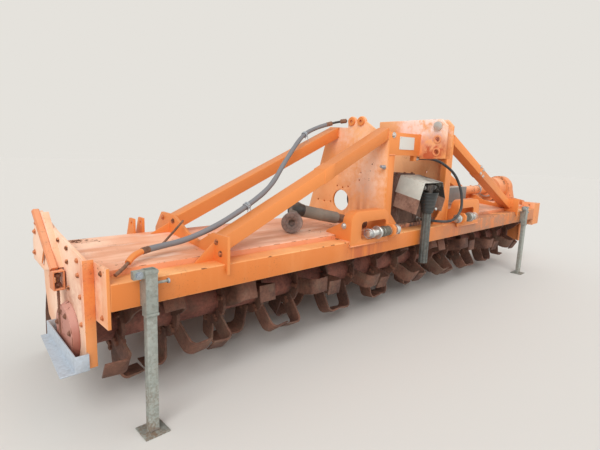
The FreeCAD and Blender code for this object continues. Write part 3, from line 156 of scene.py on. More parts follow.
class Skin(Graph):
    """Graph of one material, with a Principled shader at its end."""

    def __init__(self, name: str) -> None:
        """Make an empty material of that name."""
        self.material = bpy.data.materials.new(name)
        self.material.use_nodes = True
        super().__init__(self.material.node_tree)
        self.shader = self.node("ShaderNodeBsdfPrincipled")
        self.node("ShaderNodeOutputMaterial", None, {"Surface": self.shader.outputs[0]})
        self.place = self.node("ShaderNodeTexCoord").outputs["Object"]

    def noise(self, scale: float, detail: float = 4.0, stretch: Point = (1.0, 1.0, 1.0),
              rough: float = 0.55, shift: Point = (0.0, 0.0, 0.0)) -> Wire:
        """Fractal noise in the object's own metres.

        Args:
            scale: features for each metre.
            detail: octaves.
            stretch: factor along each axis before the noise is read.
            rough: weight of the finer octaves.
            shift: offset that makes one noise differ from another.

        Returns:
            A value round 0.5.
        """
        spot = self.node("ShaderNodeMapping", None, {"Vector": self.place, "Location": shift, "Scale": stretch})
        return self.wire("ShaderNodeTexNoise", {"noise_dimensions": "3D"},
                         {"Vector": spot.outputs[0], "Scale": scale, "Detail": detail, "Roughness": rough})

    def part(self, vector: object, axis: str) -> Wire:
        """One coordinate of a vector."""
        return self.wire("ShaderNodeSeparateXYZ", None, {0: vector}, axis)

    def facing(self, axis: str) -> Wire:
        """Share of the surface's normal along one axis of the frame, from -1 to 1."""
        return self.part(self.node("ShaderNodeNewGeometry").outputs["Normal"], axis)

    def edge(self) -> Wire:
        """1 on the eased edges of a piece, 0 elsewhere."""
        return self.wire("ShaderNodeAttribute", {"attribute_name": EDGE_LAYER}, None, "Fac")

    def near(self, centre: Point, reach: float) -> Wire:
        """Share that falls from 1 close to a place to 0 at a distance in metres."""
        away = self.wire("ShaderNodeVectorMath", {"operation": "DISTANCE"}, {0: self.place, 1: centre}, "Value")
        return away.ramp(reach, reach * 0.3)

    def bump(self, height: Wire, depth: float, strength: float) -> None:
        """Bend the normal by a height: depth is the metres that 1 stands for, strength the share of the effect."""
        node = self.node("ShaderNodeBump", None, {"Strength": strength, "Distance": depth, "Height": height})
        self.feed(self.shader.inputs["Normal"], node.outputs[0])

    def finish(self, **sockets: object) -> bpy.types.Material:
        """Feed the Principled shader's inputs, named with an underscore for a blank, and return the material."""
        for name, value in sockets.items():
            self.feed(self.shader.inputs[name.replace("_", " ")], value)
        return self.material


# ---------------------------------------------------------------- finishes


RUST_DARK = (0.07, 0.026, 0.014)
RUST_WARM = (0.2, 0.068, 0.024)
DUST = (0.86, 0.68, 0.57)
SOIL = (0.15, 0.105, 0.072)
BARE_STEEL = (0.3, 0.27, 0.245)
ZINC_DIRT = (0.17, 0.105, 0.062)
COVER_DUST = (0.4, 0.33, 0.26)
SHEATH_DIRT = (0.19, 0.135, 0.09)


@dataclass(frozen=True)
class StainAndLightPatch:
    """Place where the paint turns towards another colour: grease, soil and runs of rust, and also patches of painted
    shade and painted highlight.
    """

    centre: Point
    reach: float
    colour: Point
    depth: float = 0.8
    runs: bool = False


@dataclass(frozen=True)
class WornPaint:
    """Paint bleached by the sun, with pale dust on top, chips, rusty edges and runs of rust, and painted light on faces
    towards -X.
    """

    name: str
    paint: Point
    # pale colour for sun-bleached, dusty and worn paint, and for painted light
    faded_and_lit: Point
    fade_and_light_up: float = 0.75
    painted_side_light: float = 0.0
    rust: float = 0.5
    streaks: float = 0.0
    stains_and_light: tuple[StainAndLightPatch, ...] = ()

    def make(self) -> bpy.types.Material:
        """Build the material.

        Returns:
            Paint that turns paler in slow patches, on upward faces from sun and dust and in part as painted light, on
            faces towards -X as painted light, on eased edges from wear and in part as a painted highlight; with stains,
            patches of painted light and shade, chips and rusty edges.
        """
        g = Skin(self.name)
        patches = g.noise(2.6, 5.0)
        fine = g.noise(38.0, 6.0, rough=0.65)
        broad = g.noise(6.5, 4.0, shift=(9.0, 2.0, 1.0))
        runs = g.noise(24.0, 4.0, (1.0, 1.0, 0.08), shift=(3.1, 0.0, 0.0))
        upward = g.facing("Z").ramp(0.2, 0.9)
        outward = g.facing("X").ramp(-0.25, -0.9)
        edge = g.edge()
        # painted light: faces towards -X paler as if lit from the left; upward faces and eased edges paler from sun,
        # dust and wear, and in part as a painted highlight
        fade_and_painted_light = (upward * self.fade_and_light_up + outward * self.painted_side_light + edge * 0.35) * patches.ramp(0.22, 0.62)
        fade_and_painted_light = (fade_and_painted_light + patches.ramp(0.46, 0.74) * 0.22 + runs.ramp(0.56, 0.8) * 0.1).clamped()
        colour = g.mix(fade_and_painted_light, self.paint, self.faded_and_lit)
        if self.streaks:
            bands = g.noise(7.0, 4.0, (0.12, 1.0, 1.0), shift=(0.0, 5.0, 2.0)).ramp(0.5, 0.62)
            deeper = tuple(0.8 * part for part in self.paint)
            colour = g.mix((bands * upward * self.streaks).clamped(), colour, deeper)
            pale = g.noise(11.0, 5.0, (0.25, 1.0, 1.0), shift=(6.0, 1.0, 2.0)).ramp(0.56, 0.7)
            colour = g.mix((pale * upward * self.streaks * 0.8).clamped(), colour, DUST)
        speck = g.noise(120.0, 3.0, shift=(2.0, 2.0, 6.0)).ramp(0.6, 0.7)
        colour = g.mix(speck * (broad.ramp(0.4, 0.6) * 0.35), colour, RUST_WARM)
        # stains and runs of rust, and patches of painted shade and painted highlight
        for tint in self.stains_and_light:
            broken = (runs if tint.runs else broad * 0.6 + fine * 0.4).ramp(0.4, 0.58)
            share = g.near(tint.centre, tint.reach) * broken * tint.depth
            colour = g.mix(share.clamped(), colour, tint.colour)
        mottle = g.noise(60.0, 5.0, rough=0.7, shift=(0.0, 0.0, 4.0)) * 0.5 + broad * 0.5
        level = 0.735 - 0.075 * self.rust
        rubbed = 0.63 - 0.14 * self.rust
        worn = mottle.ramp(level - 0.055, level - 0.04).most(edge * fine.ramp(rubbed, rubbed + 0.07))
        stain = (runs * 0.45 + broad * 0.55).ramp(0.56, 0.72) * (0.35 * self.rust)
        colour = g.mix(stain.clamped(), colour, RUST_WARM)
        colour = g.mix(mottle.ramp(level - 0.085, level - 0.045) * 0.45, colour, RUST_WARM)
        colour = g.mix(worn, colour, g.mix(fine.ramp(0.35, 0.65), RUST_DARK, RUST_WARM))
        orange_peel = g.noise(420.0, 2.0, shift=(5.0, 0.0, 3.0))
        g.bump(fine * 0.22 + (1.0 - worn) * 0.55 + patches * 0.13 + orange_peel * 0.1, 0.0012, 0.5)
        rough = (fade_and_painted_light * 0.2 + worn * 0.35 + fine * 0.08 + 0.4).clamped()
        return g.finish(Base_Color=colour, Roughness=rough)


@dataclass(frozen=True)
class RustySteel:
    """Bare steel browned by rust, with soil and brighter rubbed spots."""

    name: str
    dark: Point
    light: Point
    soil: float
    rubbed: float

    def make(self) -> bpy.types.Material:
        """Build the material.

        Returns:
            Rust mottled on two scales, caked soil in patches and rubbed steel at the edges.
        """
        g = Skin(self.name)
        slow = g.noise(7.0, 5.0)
        fine = g.noise(70.0, 7.0, rough=0.7)
        grain = g.noise(260.0, 3.0, shift=(1.0, 5.0, 0.0))
        colour = g.mix((slow * 0.55 + fine * 0.45).ramp(0.38, 0.66), self.dark, self.light)
        soil = g.noise(11.0, 6.0, rough=0.6, shift=(0.0, 3.0, 8.0)).ramp(0.52, 0.62) * self.soil
        colour = g.mix(soil, colour, SOIL)
        bare = ((g.edge() * 0.75 + slow.ramp(0.62, 0.8) * 0.4) * fine.ramp(0.45, 0.62) * (4.0 * self.rubbed)).clamped()
        colour = g.mix(bare, colour, BARE_STEEL)
        g.bump(fine * 0.5 + grain * 0.2 + soil * 0.6, 0.0016, 0.7)
        return g.finish(Base_Color=colour, Roughness=(0.82 - bare * 0.38 - grain * 0.06).clamped(), Metallic=bare * 0.7)


@dataclass(frozen=True)
class ZincSteel:
    """Galvanised steel gone dull, with a soft spangle and brown stains near the ground."""

    name: str
    base: Point
    dark: Point
    stain: float

    def make(self) -> bpy.types.Material:
        """Build the material.

        Returns:
            Crystal patches of a Voronoi pattern in two greys, under dirt that thickens downwards.
        """
        g = Skin(self.name)
        spangle = g.wire("ShaderNodeTexVoronoi", {"feature": "F1"}, {"Vector": g.place, "Scale": 75.0}, "Color")
        flake = g.wire("ShaderNodeSeparateColor", None, {0: spangle}, 0)
        slow = g.noise(9.0, 5.0)
        fine = g.noise(90.0, 5.0)
        colour = g.mix((flake * 0.35 + slow * 0.65).ramp(0.3, 0.7), self.dark, self.base)
        low = g.part(g.place, "Z").ramp(0.3, 0.0)
        dirt = ((low * 0.6 + self.stain) * (slow * 0.5 + fine * 0.5).ramp(0.46, 0.62)).clamped()
        g.bump(fine * 0.6 + flake * 0.1, 0.0008, 0.4)
        return g.finish(Base_Color=g.mix(dirt, colour, ZINC_DIRT), Metallic=(0.55 - dirt * 0.5).clamped(),
                        Roughness=(dirt * 0.4 + flake * 0.1 + 0.46).clamped())


@dataclass(frozen=True)
class DullCover:
    """Plastic, rubber or cord with a grain and pale dust on what faces up."""

    name: str
    base: Point
    dust: float
    rough: float = 0.6
    ripple: float = 180.0

    def make(self) -> bpy.types.Material:
        """Build the material.

        Returns:
            One colour with slow shade changes, a fine grain and dust on upward faces.
        """
        g = Skin(self.name)
        grain = g.noise(self.ripple, 3.0)
        pale = tuple(min(1.0, 1.35 * part + 0.03) for part in self.base)
        colour = g.mix(g.noise(6.0, 4.0).ramp(0.4, 0.7) * 0.6, self.base, pale)
        up = g.facing("Z").ramp(-0.1, 0.9) * 0.8 + 0.2
        dust = (up * g.noise(16.0, 6.0, shift=(4.0, 0.0, 0.0)).ramp(0.4, 0.68) * self.dust).clamped()
        g.bump(grain, 0.0006, 0.4)
        return g.finish(Base_Color=g.mix(dust, colour, COVER_DUST),
                        Roughness=(dust * 0.25 + grain * 0.08 + self.rough).clamped())


@dataclass(frozen=True)
class WovenSheath:
    """Fabric sleeve over a hose: two families of threads crossing along the hose's own UV map."""

    name: str
    light: Point
    dark: Point
    threads: float = 12.0
    runs: float = 320.0

    def make(self) -> bpy.types.Material:
        """Build the material.

        Returns:
            A diamond weave from two diagonal sine waves, soiled in patches.
        """
        g = Skin(self.name)
        uv = g.node("ShaderNodeUVMap").outputs[0]
        round_it, along = g.part(uv, "X") * self.threads, g.part(uv, "Y") * self.runs
        over, under = (round_it + along) * FULL_TURN, (round_it - along) * FULL_TURN
        weave = over.sine() * 0.25 + under.sine() * 0.25 + 0.5
        dirt = g.noise(14.0, 5.0).ramp(0.42, 0.7) * 0.55
        g.bump(weave, 0.0008, 0.6)
        return g.finish(Base_Color=g.mix(dirt, g.mix(weave, self.dark, self.light), SHEATH_DIRT), Roughness=0.85)


class Finish(Enum):
    """Finishes of the machine, by what they cover."""

    ORANGE = WornPaint("machine_orange", (0.85, 0.3, 0.042), (0.97, 0.59, 0.29), fade_and_light_up=0.85, painted_side_light=0.35,
                       rust=0.3)
    BEAM = WornPaint("beam_orange", (0.67, 0.192, 0.034), (0.94, 0.51, 0.22), rust=0.4, stains_and_light=(
        StainAndLightPatch((-0.62, FACE, 0.54), 0.22, (0.48, 0.11, 0.03), 0.9, True),
        StainAndLightPatch((0.6, FACE, 0.56), 0.28, (0.42, 0.12, 0.05), 1.0, True),
        StainAndLightPatch((1.1, FACE, 0.56), 1.05, (0.43, 0.18, 0.088), 1.5)))
    HEAD = WornPaint("headstock_orange", (0.8, 0.265, 0.048), (0.93, 0.5, 0.25), painted_side_light=0.75, rust=0.35,
                     # painted highlights: pale over the top of the left head plate and the top of the mast
                     stains_and_light=(StainAndLightPatch((-0.395, FACE + 0.36, 1.2), 0.2, (0.93, 0.62, 0.48)),
                              StainAndLightPatch((-0.046, FACE + 0.05, 1.3), 0.26, (0.96, 0.74, 0.66), 1.8),
                              # painted shade: deeper red low on the mast's front
                              StainAndLightPatch((-0.046, FACE - 0.03, 1.09), 0.13, (0.56, 0.125, 0.045), 1.8),
                              # paler over the middle of the left head plate
                              StainAndLightPatch((-0.395, FACE + 0.2, 0.93), 0.26, (0.95, 0.62, 0.44), 1.0),
                              StainAndLightPatch((-0.395, FACE + 0.229, 0.835), 0.11, (0.64, 0.33, 0.21), 0.5),
                              StainAndLightPatch((-0.395, FACE + 0.25, 0.64), 0.2, (0.56, 0.17, 0.06), 0.7, True)))
    DECK = WornPaint("hood_orange", (0.74, 0.27, 0.12), (0.93, 0.62, 0.45), fade_and_light_up=0.8, rust=0.8, streaks=0.75,
                     # painted shadow: near black on the deck under the gearbox
                     stains_and_light=(StainAndLightPatch((0.02, FACE + 0.2, 0.62), 0.56, (0.06, 0.027, 0.022), 1.0),
                              StainAndLightPatch((-0.62, FACE + 0.32, 0.62), 0.28, (0.46, 0.16, 0.085), 0.4),
                              StainAndLightPatch((0.95, FACE + 0.3, 0.62), 0.6, (0.3, 0.12, 0.075), 0.7)))
    ORANGE_WORN = WornPaint("orange_worn", (0.72, 0.225, 0.06), (0.88, 0.47, 0.28), painted_side_light=0.4, rust=1.2)
    END = WornPaint("end_plate_orange", (0.79, 0.265, 0.06), (0.95, 0.65, 0.48), painted_side_light=0.85,
                    # painted shade: deeper red by the front edge of the left end plate
                    stains_and_light=(StainAndLightPatch((-2.03, FACE + 0.14, 0.54), 0.15, (0.64, 0.13, 0.05), 0.7),
                             StainAndLightPatch((-2.08, ROTOR[0], 0.42), 0.16, (0.42, 0.13, 0.06), 0.7)))
    ARM = WornPaint("arm_orange", (0.6, 0.175, 0.055), (0.88, 0.45, 0.26), fade_and_light_up=0.5, rust=0.9)
    SALMON = WornPaint("guard_salmon", (0.35, 0.1, 0.062), (0.58, 0.29, 0.23), painted_side_light=0.45, rust=1.0)
    # painted shade and painted light: dark sides under a pale top
    CREAM = WornPaint("cover_cream", (0.17, 0.17, 0.165), (0.64, 0.62, 0.55), fade_and_light_up=1.0, rust=0.8)
    SHIELD = WornPaint("shield_grey", (0.21, 0.21, 0.19), (0.56, 0.57, 0.51), fade_and_light_up=0.95, painted_side_light=0.5,
                       # pale top and left side partly painted light; the near-black patches at the mouth of the
                       # shield's tunnel and round the joint are painted shade
                       rust=0.8, stains_and_light=(StainAndLightPatch((0.125, FACE - 0.02, 0.83), 0.19, (0.035, 0.035, 0.035), 2.5),
                                          StainAndLightPatch((0.02, FACE - 0.06, 0.86), 0.12, (0.06, 0.058, 0.055), 1.0)))
    PAINTED_BOLT = WornPaint("painted_bolt", (0.48, 0.14, 0.045), (0.72, 0.32, 0.16), painted_side_light=0.3, rust=1.9)
    PLATE = WornPaint("blank_plate", (0.66, 0.665, 0.62), (0.74, 0.74, 0.7), fade_and_light_up=0.2, rust=0.1)
    SHIELD_WALL = RustySteel("shield_rust", (0.15, 0.075, 0.055), (0.42, 0.26, 0.19), soil=0.35, rubbed=0.05)
    CASTING = RustySteel("gear_casting", (0.078, 0.048, 0.04), (0.235, 0.14, 0.105), soil=0.35, rubbed=0.05)
    ROTOR = RustySteel("rotor_rust", (0.11, 0.042, 0.034), (0.36, 0.13, 0.088), soil=0.3, rubbed=0.05)
    # dark rust, darkened further as painted shade for the dark under the machine
    BLADE = RustySteel("blade_rust_and_shade", (0.058, 0.026, 0.019), (0.235, 0.105, 0.066), soil=0.4, rubbed=0.16)
    BOARD = RustySteel("board_rust", (0.062, 0.027, 0.02), (0.2, 0.09, 0.055), soil=0.5, rubbed=0.05)
    BOLT = RustySteel("bolt_rust", (0.11, 0.042, 0.026), (0.3, 0.14, 0.085), soil=0.0, rubbed=0.12)
    SHAFT = RustySteel("shaft_steel", (0.1, 0.08, 0.068), (0.27, 0.225, 0.19), soil=0.35, rubbed=0.12)
    TUBE = RustySteel("tube_grey", (0.038, 0.044, 0.04), (0.16, 0.168, 0.152), soil=0.2, rubbed=0.25)
    HUB = RustySteel("hub_steel", (0.16, 0.12, 0.105), (0.43, 0.34, 0.31), soil=0.3, rubbed=0.12)
    PIPE = RustySteel("pipe_brown", (0.12, 0.055, 0.032), (0.33, 0.17, 0.1), soil=0.1, rubbed=0.08)
    # near black as painted shade: the fork lies in deep shadow
    FORK = RustySteel("fork_dark", (0.03, 0.025, 0.023), (0.12, 0.098, 0.085), soil=0.3, rubbed=0.08)
    # bright bluish tone in part a painted reflection of the sky
    SKID = ZincSteel("skid_zinc", (0.56, 0.625, 0.7), (0.49, 0.55, 0.62), stain=0.12)
    PIN = ZincSteel("bright_pin", (0.64, 0.62, 0.58), (0.42, 0.39, 0.35), stain=0.22)
    ZINC = ZincSteel("galvanised", (0.54, 0.59, 0.63), (0.42, 0.465, 0.5), stain=0.2)
    SLEEVE = ZincSteel("sleeve_zinc", (0.4, 0.425, 0.39), (0.29, 0.31, 0.28), stain=0.3)
    DARK_PIN = ZincSteel("pin_sleeve", (0.19, 0.175, 0.135), (0.085, 0.075, 0.062), stain=0.3)
    RUBBER = DullCover("black_rubber", (0.022, 0.022, 0.024), dust=0.3, rough=0.55)
    CONE = DullCover("guard_plastic", (0.016, 0.018, 0.018), dust=0.25, rough=0.38)
    BELLOWS = DullCover("bellows_pale", (0.42, 0.42, 0.4), dust=0.6, rough=0.65)
    TIE = DullCover("tie_cord", (0.3, 0.33, 0.36), dust=0.3, rough=0.8, ripple=420.0)
    SHEATHING = DullCover("loose_guard", (0.19, 0.165, 0.135), dust=0.5, ripple=90.0)
    SHEATH = WovenSheath("hose_sheath", (0.3, 0.305, 0.262), (0.13, 0.13, 0.112))

    def material(self) -> bpy.types.Material:
        """The finish's material, built the first time that it is asked for."""
        return bpy.data.materials.get(self.value.name) or self.value.make()


# ---------------------------------------------------------------- surfaces


BEAD_STEPS = 330.0  # rings of a weld bead for each metre
# Profiles of a bolt's parts, over the radius of its corners
WASHER: Pairs = ((0.0, 1.35), (0.18, 1.35))
HEXAGON: Pairs = ((0.0, 1.0), (0.522, 1.0), (0.63, 0.86))
TIP: Pairs = ((0.63, 0.5), (0.85, 0.42))
SHARP = math.radians(30)  # edges over this angle are eased


class Body(Enum):
    """Bodies of the frame that pieces ride on."""

    CHASSIS = "chassis"
    ROTOR = "rotor"
    STAND_LEFT = "stand_left"
    STAND_RIGHT = "stand_right"
    BOARD = "board"
    SHAFT = "drive_shaft"


def axes_round(direction: np.ndarray) -> tuple[np.ndarray, np.ndarray]:
    """Two unit vectors square to each direction of shape (..., 3), right-handed with it."""
    direction = direction / np.linalg.norm(direction, axis=-1, keepdims=True)
    helper = np.where(np.abs(direction[..., 2:3]) > 0.9, np.array([1.0, 0.0, 0.0]), np.array([0.0, 0.0, 1.0]))
    across = np.cross(helper, direction)
    across /= np.linalg.norm(across, axis=-1, keepdims=True)
    return across, np.cross(direction, across)


def turns(sides: int) -> np.ndarray:
    """Angles of a ring's points, in radians."""
    return np.arange(sides) * FULL_TURN / sides


def run_length(path: np.ndarray) -> np.ndarray:
    """Distance run at each point of a path."""
    return np.concatenate([[0.0], np.cumsum(np.linalg.norm(np.diff(path, axis=0), axis=1))])


def circle(centre: Sequence[float], radius: float, axis: Sequence[float], count: int = 40) -> np.ndarray:
    """Points round an axis, the last one at the first."""
    across, up = axes_round(np.asarray(axis, float))
    angle = np.linspace(0.0, FULL_TURN, count)
    return np.asarray(centre) + radius * (np.cos(angle)[:, None] * across + np.sin(angle)[:, None] * up)


def around(x: float, centre: tuple[float, float], radius: float, count: int, first: float = 0.0) -> list[Point]:
    """Places on a circle in a plane square to the machine's length.

    Args:
        x: the plane.
        centre: the circle's middle in the side view.
        radius: radius of the circle.
        count: how many places.
        first: angle of the first one, in degrees.

    Returns:
        The places.
    """
    angle = np.radians(first + np.arange(count) * 360.0 / count)
    return [(x, float(centre[0] + radius * np.cos(a)), float(centre[1] + radius * np.sin(a))) for a in angle]


def grid_quads(rings: int, sides: int, looped: bool = False) -> np.ndarray:
    """Quads between rings of points that face away from the rings' axis.

    Args:
        rings: rings, from the lowest to the highest.
        sides: points of a ring, counter-clockwise seen from above.
        looped: whether the last ring joins the first.

    Returns:
        Array of shape (m, 4): point (i, j + 1), (i + 1, j + 1), (i + 1, j), (i, j).
    """
    i, j = (part.ravel() for part in np.meshgrid(np.arange(rings if looped else rings - 1), np.arange(sides),
                                                 indexing="ij"))
    low, high, after = i * sides, (i + 1) % rings * sides, (j + 1) % sides
    return np.stack([low + after, high + after, high + j, low + j], 1)


def eased_section(half_x: float, half_y: float, ease: float) -> np.ndarray:
    """Rectangle with its four corners cut, as eight points, counter-clockwise."""
    x, y = half_x - ease, half_y - ease
    return np.array([(half_x, y), (x, half_y), (-x, half_y), (-half_x, y), (-half_x, -y), (-x, -half_y), (x, -half_y),
                     (half_x, -y)])


@dataclass
class Surface:
    """Points and faces gathered for one piece; the methods that add to them return the surface."""

    points: list[np.ndarray] = field(default_factory=list)
    faces: list[np.ndarray] = field(default_factory=list)
    count: int = 0

    def add(self, points: np.ndarray, quads: np.ndarray) -> "Surface":
        """Add points of shape (..., 3) and quads of shape (m, 4) that count from 0."""
        self.points.append(points.reshape(-1, 3))
        self.faces.append(quads + self.count)
        self.count += len(self.points[-1])
        return self

    def rings(self, rings: np.ndarray) -> "Surface":
        """Add a skin over rings of shape (n, sides, 3), whose first and last one are points."""
        return self.add(rings, grid_quads(*rings.shape[:2]))

    def turned(self, profile: Pairs, centres: np.ndarray | Sequence, direction: Sequence[float], sides: int = 24,
               twist: float = 0.0) -> "Surface":
        """Add turned bodies: a profile of (along, radius) pairs carried round an axis, at every centre.

        Point = centre + along * direction + radius * (cos(angle) * across + sin(angle) * up).

        Args:
            profile: pairs from the lowest end to the highest, closed to the axis at both ends; a last pair
                like the first makes a ring.
            centres: one place or many.
            direction: the axis.
            sides: faces round the axis, 6 for a hexagon.
            twist: turn of the first point in radians.

        Returns:
            The surface.
        """
        centres = np.asarray(centres, float).reshape(-1, 3)
        axis = np.asarray(direction, float) / np.linalg.norm(direction)
        across, up = axes_round(axis)
        pairs = np.asarray(profile, float)
        looped = bool(np.allclose(pairs[0], pairs[-1]))
        if looped:
            pairs = pairs[:-1]
        else:
            pairs = np.concatenate([pairs[:1] * (1, 0), pairs, pairs[-1:] * (1, 0)])
        angle = turns(sides) + twist
        ring = np.cos(angle)[:, None] * across + np.sin(angle)[:, None] * up
        shape = pairs[:, 0, None, None] * axis + pairs[:, 1, None, None] * ring
        starts = np.arange(len(centres)) * len(pairs) * sides
        quads = (grid_quads(len(pairs), sides, looped) + starts[:, None, None]).reshape(-1, 4)
        return self.add(centres[:, None, None, :] + shape, quads)

    def bar(self, path: np.ndarray | Sequence, radius: np.ndarray | float, sides: int) -> "Surface":
        """Add a round bar along a path: rings square to the path's direction, closed at both ends.

        Args:
            path: array of shape (n, 3).
            radius: one radius, or one for each point of the path.
            sides: faces round the bar.

        Returns:
            The surface.
        """
        path = np.asarray(path, float)
        radii = np.broadcast_to(np.asarray(radius, float), (len(path),))
        across, up = axes_round(np.gradient(path, axis=0))
        angle = turns(sides)[None, :, None]
        middle = path[:, None] + radii[:, None, None] * (np.cos(angle) * across[:, None] + np.sin(angle) * up[:, None])
        ends = [np.broadcast_to(path[k], (1, sides, 3)) for k in (0, -1)]
        return self.rings(np.concatenate([ends[0], middle, ends[1]]))

    def bead(self, path: Sequence, radius: float = 0.004) -> "Surface":
        """Add a weld bead: a bar along a path whose radius ripples by the sine of the length run."""
        path = np.asarray(path, float)
        run = run_length(path)
        spots = np.linspace(0.0, run[-1], max(4, int(run[-1] * BEAD_STEPS)))
        dense = np.stack([np.interp(spots, run, path[:, k]) for k in range(3)], 1)
        ripple = radius * (1.0 + 0.16 * np.sin(spots * 260.0) + 0.08 * np.sin(spots * 97.0 + 1.0))
        return self.bar(dense, ripple, 6)

    def block(self, low: Sequence[float], high: Sequence[float], ease: float) -> "Surface":
        """Add a box with eased edges: an eased ring carried from the lowest to the highest level.

        Args:
            low: lowest corner.
            high: highest corner.
            ease: how far the edges are eased.

        Returns:
            The surface.
        """
        low, high = np.asarray(low, float), np.asarray(high, float)
        middle, half = (low + high) / 2, (high - low) / 2
        flat = eased_section(half[0], half[1], ease)
        levels = [(-half[2], ease, 0.0), (-half[2], ease, 1.0), (-half[2] + ease, 0.0, 1.0),
                  (half[2] - ease, 0.0, 1.0), (half[2], ease, 1.0), (half[2], ease, 0.0)]
        rings = [np.insert((flat - np.sign(flat) * inset) * spread, 2, height, axis=1) + middle
                 for height, inset, spread in levels]
        return self.rings(np.stack(rings))

    def strut(self, start: Sequence[float], end: Sequence[float], thick: float, wide: float, ease: float) -> "Surface":
        """Add a flat bar in a plane square to X: an eased section carried from one place to another.

        Args:
            start: middle of one end.
            end: middle of the other end.
            thick: half of its size along X.
            wide: half of its size across, in its plane.
            ease: how far the long edges are eased.

        Returns:
            The surface.
        """
        start, end = np.asarray(start, float), np.asarray(end, float)
        across = np.cross((end - start) / np.linalg.norm(end - start), RIGHT)
        ring = eased_section(thick, wide, ease) @ np.array([RIGHT, across])
        return self.rings(np.stack([start + ring * 0.0, start + ring, end + ring, end + ring * 0.0]))

    def piece(self, name: str, finish: Finish, body: Body = Body.CHASSIS, smooth: float = 35.0,
              replaces: Sequence[str] = (), uv: np.ndarray | None = None) -> bpy.types.Object:
        """Make the Blender object.

        Args:
            name: name of the piece.
            finish: what covers it.
            body: body that it rides on.
            smooth: edges under this many degrees are shaded smooth.
            replaces: CAD nodes that it stands for.
            uv: a UV map for the corners of the faces, of shape (m, 4, 2).

        Returns:
            The object, at the origin.
        """
        mesh = bpy.data.meshes.new(name)
        mesh.from_pydata(np.concatenate(self.points).tolist(), [], np.concatenate(self.faces).tolist())
        if uv is not None:
            mesh.uv_layers.new(name="along").data.foreach_set("uv", uv.ravel())
        shape = bmesh.new()
        shape.from_mesh(mesh)
        bmesh.ops.remove_doubles(shape, verts=shape.verts, dist=1e-6)
        bmesh.ops.dissolve_degenerate(shape, edges=shape.edges, dist=1e-7)
        shape.to_mesh(mesh)
        shape.free()
        return place_mesh(mesh, finish, body, smooth, replaces)


def place_mesh(mesh: bpy.types.Mesh, finish: Finish, body: Body, smooth: float,
               replaces: Sequence[str] = ()) -> bpy.types.Object:
    """Link a mesh as a piece of its name, dress it and let it ride.

    Args:
        mesh: mesh in the frame's metres.
        finish: what covers it.
        body: body that it rides on.
        smooth: edges under this many degrees are shaded smooth.
        replaces: CAD nodes that it stands for.

    Returns:
        The new object.
    """
    obj = bpy.data.objects.new(mesh.name, mesh)
    bpy.context.scene.collection.objects.link(obj)
    mesh.shade_smooth()
    mesh.set_sharp_from_angle(angle=math.radians(smooth))
    mesh.materials.clear()
    mesh.materials.append(finish.material())
    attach(obj, body.value)
    if replaces:
        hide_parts(*replaces)
    log.info("%s: %d faces", mesh.name, len(mesh.polygons))
    return obj


def eased(finish: Finish, *nodes: str, body: Body = Body.CHASSIS, ease: float = 0.002,
          smooth: float = 32.0) -> list[bpy.types.Object]:
    """Shapes of CAD nodes with their sharp edges eased, and the eased faces marked for wear.

    Args:
        finish: what covers them.
        nodes: the CAD nodes.
        body: body that they ride on.
        ease: width of the eased edges, in metres.
        smooth: edges under this many degrees are shaded smooth.

    Returns:
        The pieces that stand for the nodes, each with the node's name and "_eased".
    """
    pieces = []
    for node in nodes:
        shape = bmesh.new()
        shape.from_mesh(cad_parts[node].data)
        bmesh.ops.remove_doubles(shape, verts=shape.verts, dist=1e-5)
        bmesh.ops.dissolve_limit(shape, angle_limit=math.radians(0.5), verts=shape.verts, edges=shape.edges)
        sharp = [edge for edge in shape.edges if len(edge.link_faces) == 2 and edge.calc_face_angle(0.0) > SHARP]
        layer = shape.faces.layers.float.new(EDGE_LAYER)
        made = bmesh.ops.bevel(shape, geom=sharp, offset=ease, offset_type="OFFSET", segments=2, profile=0.5,
                               affect="EDGES", clamp_overlap=True)
        for face in made["faces"]:
            face[layer] = 1.0
        bmesh.ops.triangulate(shape, faces=[face for face in shape.faces if len(face.verts) > 4])
        mesh = bpy.data.meshes.new(node + "_eased")
        shape.to_mesh(mesh)
        shape.free()
        pieces.append(place_mesh(mesh, finish, body, smooth, (node,)))
    return pieces


def bolts(name: str, centres: Sequence[Point], direction: Sequence[float], across: float,
          finish: Finish = Finish.BOLT, washer: bool = True) -> None:
    """Hexagon heads on the chassis, one at each centre, as one piece.

    Args:
        name: name of the piece.
        centres: where the washers lie on the surface.
        direction: outward direction of the heads.
        across: radius of a head's corners, in metres.
        finish: what covers them.
        washer: whether a washer lies under each head.
    """
    surface, lift = Surface(), WASHER[-1][0] if washer else 0.0
    steps = [(HEXAGON, lift, 6, 0.3), (TIP, lift, 10, 0.0)]
    if washer:
        steps.append((WASHER, 0.0, 16, 0.0))
    for profile, start, sides, twist in steps:
        scaled = [((start + along) * across, radius * across) for along, radius in profile]
        surface.turned(scaled, centres, direction, sides, twist)
    surface.piece(name, finish, smooth=30.0)


def flat_ring(inner: float, outer: float, thick: float, ease: float = 0.001) -> Pairs:
    """Section of a flat ring with its outer edges eased, as (along, radius) pairs."""
    return [(0.0, outer), (thick - ease, outer), (thick, outer - ease), (thick, inner), (0.0, inner), (0.0, outer)]


# ---------------------------------------------------------------- sub-assemblies


